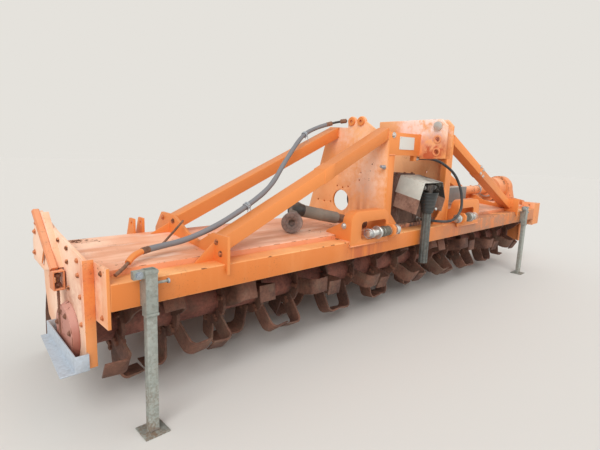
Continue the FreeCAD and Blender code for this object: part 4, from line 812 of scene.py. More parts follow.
@dataclass
class MainFrame:
    """Front beam, its caps, the headstock and the mast."""

    cap_x: float = 2.042
    post_x: float = 0.395
    mast_x: float = 0.046
    front: float = FACE + 0.055
    plate_low: Point = (-0.281, FACE + 0.052, 1.093)
    plate_high: Point = (-0.122, FACE + 0.055, 1.17)
    lug_eyes: tuple[float, float] = (FACE + 0.266, FACE + 0.34)
    eye_height: float = 1.256
    mast_holes: tuple[float, float] = (1.087, 1.164)

    def build(self) -> None:
        """Ease the CAD shapes and add bolts, welds and the blank plate."""
        eased(Finish.BEAM, "front_beam", ease=0.004)
        eased(Finish.END, "beam_caps")
        eased(Finish.HEAD, "headstock_plate_left", "headstock_plate_right", "mast_plate_left", "mast_plate_right")
        eased(Finish.ORANGE, "headstock_posts", "headstock_crosshead", ease=0.003)
        eased(Finish.PIN, "top_link_pin")
        for (side, word), heights in zip(SIDES, ((0.455, 0.617), (0.617,))):
            spots = [(side * self.cap_x, FACE + 0.05, z) for z in heights]
            bolts(f"cap_bolts_{word}", spots, (side, 0, 0), 0.008, Finish.PAINTED_BOLT)
        bolts("crosshead_bolt", [(x, self.front, 1.176) for x in (-0.345, 0.345)], FORWARD, 0.013, Finish.PIN)
        self.plate()
        self.bosses()
        self.welds()

    def plate(self) -> None:
        """Blank plate on the crosshead with its four rivets."""
        Surface().block(self.plate_low, self.plate_high, 0.0007).piece("blank_plate", Finish.PLATE)
        rivets = [(x, self.plate_low[1], z) for x in (-0.275, -0.128) for z in (1.099, 1.164)]
        dome = [(0.0, 0.004), (0.0012, 0.0032), (0.002, 0.0)]
        Surface().turned(dome, rivets, FORWARD, 12).piece("plate_rivets", Finish.PIN)

    def bosses(self) -> None:
        """Rings welded round the eyes of the lugs and the holes of the mast, and a pin in the left post."""
        rings, hubs = Surface(), Surface()
        for side, _ in SIDES:
            for x, way in ((self.post_x, side), (0.38, -side)):
                eyes = [(side * x, y, self.eye_height) for y in self.lug_eyes]
                rings.turned(flat_ring(0.0095, 0.026, 0.01), eyes, (way, 0, 0), 28)
            holes = [(side * self.mast_x, FACE - 0.062, z) for z in self.mast_holes]
            hubs.turned(flat_ring(0.0165, 0.026, 0.004), holes, (side, 0, 0), 28)
        rings.piece("lug_bosses", Finish.ORANGE, smooth=40.0)
        hubs.piece("mast_bosses", Finish.ORANGE_WORN, smooth=40.0)
        peg = [(0.0, 0.013), (0.01, 0.013), (0.01, 0.009), (0.052, 0.009), (0.055, 0.007)]
        place = (-self.post_x, FACE + 0.072, 0.985)
        Surface().turned(peg, place, (-1, -0.25, 0.1), 16).piece("post_peg", Finish.ZINC)

    def welds(self) -> None:
        """Run beads where posts, crosshead and mast meet."""
        line = Surface()
        for side, _ in SIDES:
            post, mast, foot = side * self.post_x, side * self.mast_x, side * 0.318
            line.bead([(side * 0.38, self.front, 1.058), (foot, self.front, 1.058)])
            line.bead([(mast, self.front, 1.06), (mast, self.front, 1.19)])
            line.bead([(mast, FACE + 0.06, 1.193), (mast, FACE + 0.23, 1.193)])
            line.bead([(post, self.front, 0.587), (foot, self.front, 0.587)], 0.005)
            line.bead([(post, FACE + 0.1, 0.611), (post, FACE + 0.52, 0.648)], 0.005)
        line.piece("frame_welds", Finish.ORANGE_WORN)


@dataclass
class Hitch:
    """Lower link brackets with their pins; a ring's steps are start along the pin, radii and length."""

    span: float = 0.505
    pin_y: float = FACE - 0.032
    pin_z: float = 0.625
    ends: tuple[float, float] = (0.43, 0.77)
    foot: float = 0.56
    collars: tuple[tuple[float, ...], ...] = (
        (0.06, 0.018, 0.037, 0.007), (0.106, 0.0175, 0.026, 0.012), (-0.14, 0.0178, 0.0255, 0.01))
    sleeves: tuple[tuple[float, ...], ...] = (
        (-0.04, 0.018, 0.029, 0.03), (-0.006, 0.018, 0.031, 0.02), (0.018, 0.018, 0.0285, 0.04))

    def build(self) -> None:
        """Ease the brackets and pins and add rings, the side bolts and the welds to the beam."""
        eased(Finish.ORANGE, "hitch_bracket_left", "hitch_bracket_right", ease=0.003)
        eased(Finish.PIN, "hitch_pins", ease=0.003)
        links, collars, sleeves, line = Surface(), Surface(), Surface(), Surface()
        for side, word in SIDES:
            for reach, radius, axis, wire in ((0.139, 0.027, (1.0, 0.3, 0.2), 0.0022),
                                              (-0.136, 0.03, (1.0, -0.4, 0.3), 0.0025)):
                links.bar(circle((side * (self.span + reach), self.pin_y, self.pin_z), radius, axis), wire, 8)
            for made, steps in ((collars, self.collars), (sleeves, self.sleeves)):
                for start, inner, outer, thick in steps:
                    spot = (side * (self.span + start), self.pin_y, self.pin_z)
                    made.turned(flat_ring(inner, outer, thick, 0.0015), spot, (side, 0, 0), 32)
            inner, outer = (side * x for x in self.ends)
            line.bead([(inner, FACE - 0.009, self.foot), (outer, FACE - 0.009, self.foot)], 0.0045)
            line.bead([(outer, FACE - 0.003, self.foot), (outer, FACE - 0.003, 0.587), (outer, FACE + 0.098, 0.589)])
            bolts(f"bracket_bolt_{word}", [(outer, FACE + 0.042, 0.669)], (side, 0, 0), 0.013, Finish.PIN)
        links.piece("linch_rings", Finish.ZINC)
        collars.piece("pin_collars", Finish.PIN, smooth=40.0)
        sleeves.piece("pin_sleeves", Finish.DARK_PIN, smooth=40.0)
        line.piece("bracket_welds", Finish.ORANGE_WORN)


@dataclass
class Braces:
    """Sloping tubes of the headstock with their cross ribs; an upright bead has its Y, foot and top."""

    rib_x: float = 1.55
    rib_bolts: Pairs = ((0.553, 0.711), (0.448, 0.706), (0.065, 0.671), (0.034, 0.625))
    joint_bolts: Pairs = ((0.868, 0.99), (0.868, 0.938), (0.915, 0.965), (0.915, 0.915))
    rib_beads: tuple[Point, ...] = (
        (0.055, 0.618, 0.682), (0.135, 0.618, 0.682), (0.446, 0.662, 0.724), (0.526, 0.662, 0.724))
    post_beads: tuple[Point, ...] = ((0.055, 1.15, 1.212), (0.446, 1.158, 1.22))

    def build(self) -> None:
        """Ease the tubes and ribs and add the bolts and welds."""
        for _, word in SIDES:
            eased(Finish.ORANGE, f"brace_front_{word}", f"brace_rear_{word}", ease=0.005, smooth=60.0)
        line = Surface()
        for side, word in SIDES:
            eased(Finish.ORANGE, f"brace_rib_{word}")
            spots = [(side * (self.rib_x + 0.014), FACE + y, z) for y, z in self.rib_bolts]
            bolts(f"rib_bolts_{word}", spots, (side, 0, 0), 0.01, Finish.PAINTED_BOLT)
            for x, beads in ((self.rib_x - 0.002, self.rib_beads), (0.397, self.post_beads)):
                for y, low, high in beads:
                    line.bead([(side * x, FACE + y, low), (side * x, FACE + y, high)])
        line.piece("brace_welds", Finish.ORANGE_WORN)
        joint = [(x, FACE + 0.052, z) for x, z in self.joint_bolts]
        bolts("brace_joint_bolts", joint, FORWARD, 0.01, Finish.PIN)
        rod = [(-1.742, FACE + 0.25, 0.632), (-1.7, FACE + 0.266, 0.65), (-1.63, FACE + 0.306, 0.688),
               (-1.566, FACE + 0.345, 0.722)]
        Surface().bar(rod, 0.005, 10).piece("thin_rod", Finish.PIPE)


@dataclass
class Hood:
    """Bent sheet over the rotor, with its strut ears."""

    ear_places: tuple[float, ...] = (-1.69, -0.62, 0.62, 1.69)

    def build(self) -> None:
        """Ease the sheet and ears and weld the ears on."""
        eased(Finish.DECK, "hood_deck", ease=0.0015)
        eased(Finish.ORANGE, "board_strut_ears", ease=0.0015)
        line = Surface()
        for x in (place + shift for place in self.ear_places for shift in (-0.028, 0.028)):
            line.bead([(x, FACE + 0.548, 0.64), (x, FACE + 0.642, 0.594)])
        line.piece("ear_welds", Finish.ORANGE_WORN)


@dataclass
class EndPlates:
    """Side walls of the rotor chamber with bearings, guard, leaf and skid."""

    wall_x: float = -2.075
    leaf_x: float = -2.1
    guard_radius: float = 0.082
    bore: float = 0.031
    play: float = 0.0006
    clamp_y: float = FACE + 0.332
    rod_x: float = -2.102
    wall_bolts: Pairs = (
        (0.416, 0.677), (0.309, 0.664), (0.19, 0.64), (0.312, 0.61), (0.443, 0.589), (0.189, 0.585),
        (0.312, 0.505), (0.37, 0.52), (0.452, 0.443), (0.558, 0.495), (0.171, 0.507), (0.171, 0.4), (0.448, 0.378))
    leaf_bolts: Pairs = ((0.678, 0.672), (0.7, 0.575), (0.64, 0.715))
    clamp_walls: tuple[tuple[Point, Point], ...] = (
        ((-2.123, 0.0, 0.494), (-2.118, 0.055, 0.572)), ((-2.086, 0.0, 0.494), (-2.081, 0.055, 0.572)),
        ((-2.119, 0.001, 0.494), (-2.085, 0.054, 0.5)), ((-2.119, 0.001, 0.566), (-2.085, 0.054, 0.572)))

    def build(self) -> None:
        """Ease the plates and add their bolts, the leaf's arm, its clamp and its rod."""
        eased(Finish.END, "end_plate_left", ease=0.0015)
        eased(Finish.ORANGE_WORN, "end_plate_right", ease=0.0015)
        eased(Finish.SALMON, "bearing_guard_left", ease=0.005, smooth=50.0)
        eased(Finish.SKID, "skid_left", ease=0.0015)
        self.open_bores(eased(Finish.CASTING, "rotor_bearings")[0].data)
        wall = [(self.wall_x, FACE + y, z) for y, z in self.wall_bolts]
        bolts("end_wall_bolts", wall, (-1, 0, 0), 0.0105, Finish.PAINTED_BOLT, washer=False)
        leaf = [(self.leaf_x, FACE + y, z) for y, z in self.leaf_bolts]
        bolts("leaf_bolts", leaf, (-1, 0, 0), 0.01, Finish.PAINTED_BOLT)
        dome = around(-2.101, ROTOR, self.guard_radius, 7, 12.0)
        bolts("guard_bolts", [spot for spot in dome if spot[2] > 0.27], (-1, 0, 0), 0.009)
        self.arm()
        self.rod()

    def open_bores(self, housings: bpy.types.Mesh) -> None:
        """Widen the bearings' bores a little, so that the journals turn free of their facets."""
        places = np.array([tuple(vertex.co) for vertex in housings.vertices])
        away = places[:, 1:] - ROTOR
        reach = np.linalg.norm(away, axis=1, keepdims=True)
        places[:, 1:] += np.where(reach < self.bore, away / np.maximum(reach, 1e-6) * self.play, 0.0)
        housings.vertices.foreach_set("co", places.ravel())
        housings.update()

    def arm(self) -> None:
        """Channel down the leaf's edge and the clamp at its foot."""
        top, foot = np.array((-2.112, FACE + 0.588, 0.775)), np.array((-2.112, FACE + 0.355, 0.574))
        rise = np.array((-0.011, 0.0, 0.0))
        bar = Surface().strut(top, foot, 0.012, 0.013, 0.003)
        bar.strut(top + rise, foot + rise, 0.004, 0.006, 0.0015).piece("leaf_arm", Finish.ARM, smooth=30.0)
        clamp, shift = Surface(), np.array((0.0, self.clamp_y, 0.0))
        for low, high in self.clamp_walls:
            clamp.block(low + shift, high + shift, 0.0012)
        clamp.piece("leaf_clamp", Finish.ARM)

    def rod(self) -> None:
        """Threaded rod below the clamp, with two nuts: its radius ripples by a sine of the length."""
        y = self.clamp_y + 0.024
        share = np.linspace(0.0, 1.0, 150)
        path = np.stack([np.full(150, self.rod_x), np.full(150, y), 0.575 - 0.262 * share], 1)
        rod = Surface().bar(path, 0.0052 + 0.0008 * np.sin(share * FULL_TURN * 40.0), 10)
        nuts = [(self.rod_x, y, z) for z in (0.508, 0.545)]
        rod.turned([(0.0, 0.013), (0.011, 0.013)], nuts, UP, 6).piece("leaf_rod", Finish.BOLT, smooth=25.0)


@dataclass
class Rotor:
    """Rotor tube with flanges and bent blades, their bolts and welds."""

    first: float = 1.918
    count: int = 17
    turn: float = 67.5
    blades: int = 6
    tube: float = 0.076
    bolt_circles: tuple[float, float] = (0.098, 0.118)
    bolt: Pairs = ((0.0, 0.012), (0.008, 0.012), (0.0095, 0.0096))

    def build(self) -> None:
        """Ease the CAD shapes and add bolts and weld rings at every flange."""
        eased(Finish.ROTOR, "rotor_shaft", body=Body.ROTOR, smooth=40.0)
        eased(Finish.BLADE, "rotor_blades", body=Body.ROTOR, ease=0.0015, smooth=40.0)
        heads, seams = Surface(), Surface()
        for index in range(self.count):
            x = -self.first + index * 2.0 * self.first / (self.count - 1)
            for side, _ in SIDES:
                seams.bead(circle((x + side * 0.007, *ROTOR), self.tube + 0.001, RIGHT), 0.005)
            for blade in range(self.blades):
                angle = math.radians(index * self.turn + 360.0 * blade / self.blades)
                side = 1 if blade % 2 else -1
                for radius in self.bolt_circles:
                    spot = (ROTOR[0] - math.sin(angle) * radius, ROTOR[1] + math.cos(angle) * radius)
                    for reach, way in ((0.017, side), (0.007, -side)):
                        heads.turned(self.bolt, (x + way * reach, *spot), (way, 0, 0), 6)
        heads.piece("blade_bolts", Finish.BOLT, Body.ROTOR, 30.0)
        seams.piece("flange_welds", Finish.ROTOR, Body.ROTOR)


@dataclass
class Board:
    """Levelling board behind the rotor with its hinge."""

    def build(self) -> None:
        """Ease the sheet and knuckles."""
        eased(Finish.BOARD, "levelling_board", body=Body.BOARD, ease=0.0015, smooth=40.0)
        eased(Finish.ORANGE_WORN, "board_knuckles", ease=0.0015, smooth=40.0)


@dataclass
class Stands:
    """Telescopic parking stands."""

    places: tuple[tuple[str, Body, float], ...] = (
        ("left", Body.STAND_LEFT, -1.904), ("right", Body.STAND_RIGHT, 1.695))
    middle: float = FACE - 0.033
    half_width: float = 0.0225
    half_depth: float = 0.019
    bands: Pairs = ((0.46, 0.47), (0.618, 0.63))
    grip: Pairs = ((0.0, 0.0095), (0.003, 0.0105), (0.007, 0.0095))
    grip_height: float = 0.576
    clamp_height: float = 0.617

    def build(self) -> None:
        """Ease sleeves and legs and add the bands, the clamp bolts, the handles' ends and the foot welds."""
        for word, body, x in self.places:
            eased(Finish.SLEEVE, f"stand_sleeve_{word}", ease=0.0015)
            eased(Finish.SLEEVE, f"stand_leg_{word}", body=body, ease=0.0015)
            front, half = self.middle - self.half_depth, self.half_width + 0.002
            collar, line = Surface(), Surface()
            for low, high in self.bands:
                collar.block((x - half, front - 0.003, low), (x + half, front, high), 0.0008)
            collar.piece(f"sleeve_bands_{word}", Finish.SLEEVE)
            grip = Surface().turned(self.grip, (x + self.half_width + 0.045, self.middle, self.grip_height), RIGHT, 16)
            grip.piece(f"handle_end_{word}", Finish.ZINC)
            clamp = [(x - self.half_width - 0.02, self.middle - 0.012, self.clamp_height)]
            bolts(f"clamp_bolt_{word}", clamp, FORWARD, 0.011, Finish.ZINC)
            for y in (front + 0.003, self.middle + self.half_depth - 0.003):
                line.bead([(x - 0.019, y, 0.01), (x + 0.019, y, 0.01)], 0.003)
            line.piece(f"foot_welds_{word}", Finish.SHAFT, body)


@dataclass
class Drive:
    """Gearbox, its shield, the drive line to the right and the side case."""

    flange: float = 0.078
    drum: float = 0.112
    case_face: float = 2.175
    half_case: tuple[float, float] = (0.12, 0.095)
    cover_place: Point = (-0.05, FACE + 0.08, 0.862)
    cover_radius: float = 0.042
    boss_place: Point = (-0.088, FACE + 0.1205, 0.742)
    ribs: tuple[tuple[float, ...], ...] = (
        (-0.146, 0.635, 0.87, 0.007, 0.008), (0.146, 0.635, 0.87, 0.007, 0.008), (0.04, 0.64, 0.8, 0.006, 0.006))
    drum_rims: tuple[float, ...] = (1.8725, 2.053)
    guard_bands: tuple[float, ...] = (0.7, 1.15, 1.6)
    sleeve_x: float = 1.802
    sleeve_length: float = 0.0695
    sleeve_waves: float = 5.0
    boss: Pairs = ((0.0, 0.05), (0.004, 0.05), (0.012, 0.042), (0.013, 0.03), (0.01, 0.028))
    plug: Pairs = ((0.0, 0.022), (0.005, 0.022), (0.005, 0.015), (0.014, 0.014))

    def build(self) -> None:
        """Ease the CAD shapes and add what is bolted to them."""
        eased(Finish.CASTING, "gearbox", ease=0.006, smooth=40.0)
        eased(Finish.SHIELD, "gearbox_shield", ease=0.001)
        eased(Finish.ORANGE_WORN, "lateral_drive_guard", smooth=40.0)
        eased(Finish.CREAM, "lateral_drive_cover", ease=0.001)
        eased(Finish.ORANGE_WORN, "drive_hub_guard", ease=0.003, smooth=40.0)
        eased(Finish.ORANGE_WORN, "side_drive_case", ease=0.004, smooth=40.0)
        walls = Surface()
        for x in (-0.1905, 0.1205):
            walls.strut((x, FACE + 0.1195, 0.78), (x, FACE - 0.052, 0.7445), 0.0018, 0.047, 0.0006)
        walls.piece("shield_side_walls", Finish.SHIELD_WALL, smooth=30.0)
        self.casting()
        self.line()
        self.case()

    def casting(self) -> None:
        """Bolts of the gearbox's covers, its front boss with a plug, and its front ribs."""
        for (side, word), x in zip(SIDES, (-0.22, 0.3)):
            bolts(f"gear_flange_bolts_{word}", around(x, DRIVE, self.flange, 6, 15.0), (side, 0, 0), 0.009)
        lid = [(x, FACE + y, 0.937) for x in (-0.09, 0.0, 0.09) for y in (0.185, 0.375)]
        bolts("gear_lid_bolts", lid, UP, 0.009)
        (x, y, z), reach = self.cover_place, self.cover_radius
        cover = [(x + reach * math.cos(angle), y, z + reach * math.sin(angle))
                 for angle in np.radians((30, 150, 210, 330))]
        bolts("bearing_cover_bolts", cover, FORWARD, 0.007)
        x, front, z = self.boss_place
        boss = Surface().turned(self.boss, self.boss_place, FORWARD, 36)
        boss.turned([(0.0, 0.02), (0.006, 0.019)], (x, front - 0.009, z), FORWARD, 6)
        for x, low, high, thick, wide in self.ribs:
            boss.strut((x, front - 0.001, low), (x, front - 0.001, high), thick, wide, 0.003)
        boss.piece("gear_front_boss", Finish.CASTING, smooth=40.0)

    def line(self) -> None:
        """Rims of the round guard, the corrugated sleeve beside it and the bands of the long guard."""
        rims = [(x, *DRIVE) for x in self.drum_rims]
        drum = Surface().turned(flat_ring(0.1, self.drum + 0.004, 0.01, 0.002), rims, RIGHT, 48)
        drum.piece("drum_rims", Finish.ORANGE_WORN, smooth=40.0)
        run, inner = np.linspace(0.0, 1.0, 45), 0.066
        outer = 0.0735 + 0.0045 * np.sin(run * FULL_TURN * self.sleeve_waves - 0.5 * math.pi)
        wave = list(zip((self.sleeve_length * run).tolist(), outer.tolist()))
        profile = [*wave, (self.sleeve_length, inner), (0.0, inner), wave[0]]
        sleeve = Surface().turned(profile, (self.sleeve_x, *DRIVE), RIGHT, 48)
        sleeve.piece("corrugated_sleeve", Finish.BELLOWS, smooth=60.0)
        clips = [(x, *DRIVE) for x in self.guard_bands]
        bands = Surface().turned(flat_ring(0.0395, 0.0435, 0.022), clips, RIGHT, 40)
        bands.piece("guard_bands", Finish.ZINC, smooth=40.0)

    def case(self) -> None:
        """Covers of the side case with their bolts, and its filling plug."""
        face, covers, heads = self.case_face, Surface(), []
        for centre, radius, ring, first in ((DRIVE, 0.084, 0.07, 0.0), (ROTOR, 0.106, 0.09, 22.5)):
            profile = [(0.0, radius), (0.007, radius), (0.01, radius - 0.004), (0.01, 0.03), (0.018, 0.028)]
            covers.turned(profile, (face - 0.001, *centre), RIGHT, 48)
            heads += around(face + 0.009, centre, ring, 8, first)
        covers.piece("case_covers", Finish.ORANGE_WORN, smooth=40.0)
        bolts("case_cover_bolts", heads, RIGHT, 0.0085)
        rim = [spot for spot in around(face, DRIVE, 0.112, 12) + around(face, ROTOR, 0.137, 14)
               if spot[2] > 0.8 or spot[2] < 0.29]
        for height in (0.45, 0.54, 0.63):
            share = (height - ROTOR[1]) / (DRIVE[1] - ROTOR[1])
            middle, half = (low + share * (high - low) for low, high in ((ROTOR[0], DRIVE[0]), self.half_case))
            rim += [(face, middle - half, height), (face, middle + half, height)]
        bolts("case_rim_bolts", rim, RIGHT, 0.009)
        plug = Surface().turned(self.plug, (face, 0.5 * (ROTOR[0] + DRIVE[0]), 0.535), RIGHT, 6)
        plug.piece("case_plug", Finish.BOLT, smooth=30.0)


@dataclass
class HangingShaft:
    """Drive shaft half that hangs from the gearbox, with its black guard."""

    x: float = -0.05
    y: float = FACE - 0.036
    cross: float = 0.862
    rim: float = 0.832
    foot: float = 0.702
    tube: float = 0.027
    lobes: int = 8
    tube_ends: tuple[float, float] = (0.3725, 0.7)
    guard_ribs: float = 6.0

    def build(self) -> None:
        """Ease the fork and add the ribbed cone, its knob, the cross's caps and the fluted tube."""
        eased(Finish.FORK, "input_shaft")
        eased(Finish.FORK, "hanging_drive_shaft", body=Body.SHAFT)
        run, depth = np.linspace(0.0, 1.0, 60), self.rim - self.foot
        outer = 0.0622 - 0.026 * run + 0.0018 * np.maximum(0.0, np.sin(run * FULL_TURN * self.guard_ribs))
        profile = [(0.0, 0.0575), *zip((run * depth).tolist(), outer.tolist()), (depth, self.tube + 0.0005),
                   (depth - 0.004, self.tube + 0.0005), (depth - 0.004, 0.0335), (0.0, 0.0575)]
        cone = Surface().turned(profile, (self.x, self.y, self.rim), (0, 0, -1), 48)
        cone.piece("shaft_guard_cone_ribbed", Finish.CONE, Body.SHAFT, 45.0, ("shaft_guard_cone",))
        dome = [(0.0, 0.008), (0.006, 0.01), (0.012, 0.008), (0.014, 0.0)]
        knob = Surface().turned(dome, (self.x + 0.012, self.y - 0.046, self.foot + 0.03), (0.1, -1, -0.2), 16)
        knob.piece("cone_knob", Finish.PIN, Body.SHAFT, 50.0)
        caps = Surface()
        for side, _ in SIDES:
            caps.turned([(0.0, 0.0145), (0.0035, 0.0145), (0.0045, 0.012)],
                        (self.x + side * 0.0595, self.y, self.cross), (side, 0, 0), 20)
        caps.piece("cross_caps", Finish.PIN, Body.SHAFT, 30.0)
        self.flutes()

    def flutes(self) -> None:
        """Skin of the lower tube: radius = mean + depth * cos(lobes * angle), carried along the tube."""
        angle = turns(96)
        radius = 0.0278 + 0.0012 * np.cos(self.lobes * angle)
        ring = np.stack([radius * np.cos(angle), radius * np.sin(angle), np.zeros(len(angle))], 1)
        low, high = self.tube_ends
        levels = ((low, 0.0), (low, 1.0), (high, 1.0), (high, 0.0))
        skin = Surface().rings(np.stack([ring * spread + np.array((self.x, self.y, z)) for z, spread in levels]))
        skin.piece("fluted_tube", Finish.TUBE, Body.SHAFT, 50.0)


@dataclass(frozen=True)
class Step:
    """Turned step of the loose shaft: its ends with Y counted from the beam's face, and its profile."""

    name: str
    finish: Finish
    start: Point
    end: Point
    profile: Pairs


@dataclass
class LooseShaft:
    """Drive shaft half laid over the deck, its open joint resting beside the left bracket."""

    steps: tuple[Step, ...] = (
        Step("loose_hub", Finish.HUB, (-1.001, 0.214, 0.6796), (-0.969, 0.238, 0.6796), (
            (0.0, 0.033), (0.0, 0.052), (0.004, 0.0565), (0.012, 0.057), (0.014, 0.0545), (0.019, 0.0545),
            (0.021, 0.057), (0.034, 0.057), (0.039, 0.052), (0.04, 0.0), (0.031, 0.0), (0.03, 0.018),
            (0.009, 0.02), (0.006, 0.031), (0.0, 0.033))),
        Step("loose_yoke", Finish.SHAFT, (-0.985, 0.226, 0.679), (-0.915, 0.29, 0.736), (
            (0.01, 0.024), (0.06, 0.026), (0.104, 0.026), (0.11, 0.024))),
        Step("loose_bell", Finish.CONE, (-0.934, 0.3, 0.744), (-0.86, 0.273, 0.73), (
            (0.0, 0.036), (0.006, 0.044), (0.016, 0.046), (0.03, 0.0455), (0.046, 0.044), (0.06, 0.039),
            (0.072, 0.036), (0.08, 0.035))),
        Step("loose_guard_tube", Finish.SHEATHING, (-0.905, 0.289, 0.739), (-0.655, 0.194, 0.683), (
            (0.03, 0.034), (0.15, 0.034), (0.154, 0.0355), (0.164, 0.0355), (0.168, 0.034), (0.262, 0.034),
            (0.27, 0.032), (0.273, 0.0))),
        Step("loose_inner_tube", Finish.PIPE, (-0.69, 0.207, 0.691), (-0.474, 0.125, 0.642), (
            (0.01, 0.027), (0.226, 0.027), (0.232, 0.025), (0.236, 0.0))))

    def build(self) -> None:
        """Turn the joint's hub, yoke and bell and the two tubes."""
        for step in self.steps:
            low, high = (np.array((x, FACE + y, z)) for x, y, z in (step.start, step.end))
            made = Surface().turned(step.profile, low, high - low, 36)
            made.piece(step.name, step.finish, replaces=("loose_drive_shaft",) if "guard" in step.name else ())


HOSE_ROUTE: tuple[Point, ...] = (
    (-1.99, 0.06, 0.5998), (-1.945, 0.084, 0.616), (-1.905, 0.116, 0.644), (-1.868, 0.136, 0.653),
    (-1.83, 0.152, 0.656), (-1.732, 0.182, 0.658), (-1.652, 0.196, 0.662), (-1.575, 0.196, 0.682),
    (-1.506, 0.176, 0.712), (-1.432, 0.16, 0.752), (-1.353, 0.15, 0.796), (-1.211, 0.182, 0.858),
    (-1.101, 0.24, 0.912), (-0.988, 0.31, 0.984), (-0.886, 0.37, 1.043), (-0.781, 0.43, 1.104),
    (-0.666, 0.49, 1.164), (-0.551, 0.52, 1.204), (-0.472, 0.49, 1.234), (-0.414, 0.43, 1.256),
    (-0.388, 0.388, 1.262))
LOOP_ROUTE: tuple[Point, ...] = (
    (-0.07, 0.075, 1.041), (0.015, 0.075, 1.042), (0.126, 0.068, 1.042), (0.195, 0.042, 1.025),
    (0.241, 0.01, 0.994), (0.29, -0.022, 0.949), (0.328, -0.045, 0.883), (0.35, -0.06, 0.812),
    (0.352, -0.068, 0.755), (0.344, -0.072, 0.705), (0.31, -0.072, 0.663), (0.255, -0.072, 0.638),
    (0.195, -0.068, 0.628), (0.145, -0.045, 0.627), (0.108, -0.005, 0.629), (0.086, 0.05, 0.63),
    (0.086, 0.1197, 0.63))
CRIMP: Pairs = (
    (-0.02, 0.0118), (-0.015, 0.014), (-0.009, 0.014), (-0.007, 0.0132), (-0.004, 0.0132), (-0.002, 0.014),
    (0.004, 0.014), (0.006, 0.0132), (0.009, 0.0132), (0.011, 0.014), (0.016, 0.0138), (0.02, 0.0115))
FERRULE: Pairs = (
    (0.0, 0.015), (0.009, 0.015), (0.01, 0.0128), (0.016, 0.0122), (0.018, 0.013), (0.03, 0.013),
    (0.034, 0.0112), (0.036, 0.0))


def nurbs(name: str, route: Sequence[Point]) -> bpy.types.Curve:
    """Curve of one smooth spline.

    Args:
        name: name of the curve.
        route: its control points: distance along the machine, distance behind the beam's face, height.

    Returns:
        The curve, with no thickness.
    """
    curve = bpy.data.curves.new(name, "CURVE")
    curve.dimensions = "3D"
    line = curve.splines.new("NURBS")
    line.points.add(len(route) - 1)
    for point, (x, back, z) in zip(line.points, route):
        point.co = (x, FACE + back, z, 1.0)
    line.order_u = 3
    line.use_endpoint_u = True
    line.resolution_u = 12
    return curve


def route_points(route: Sequence[Point]) -> np.ndarray:
    """Points of the smooth curve of a route, read back from Blender in order."""
    curve = nurbs("route", route)
    probe = bpy.data.objects.new("route", curve)
    mesh = bpy.data.meshes.new_from_object(probe)
    points = np.array([tuple(vertex.co) for vertex in mesh.vertices])
    bpy.data.objects.remove(probe)
    bpy.data.meshes.remove(mesh)
    bpy.data.curves.remove(curve)
    return points


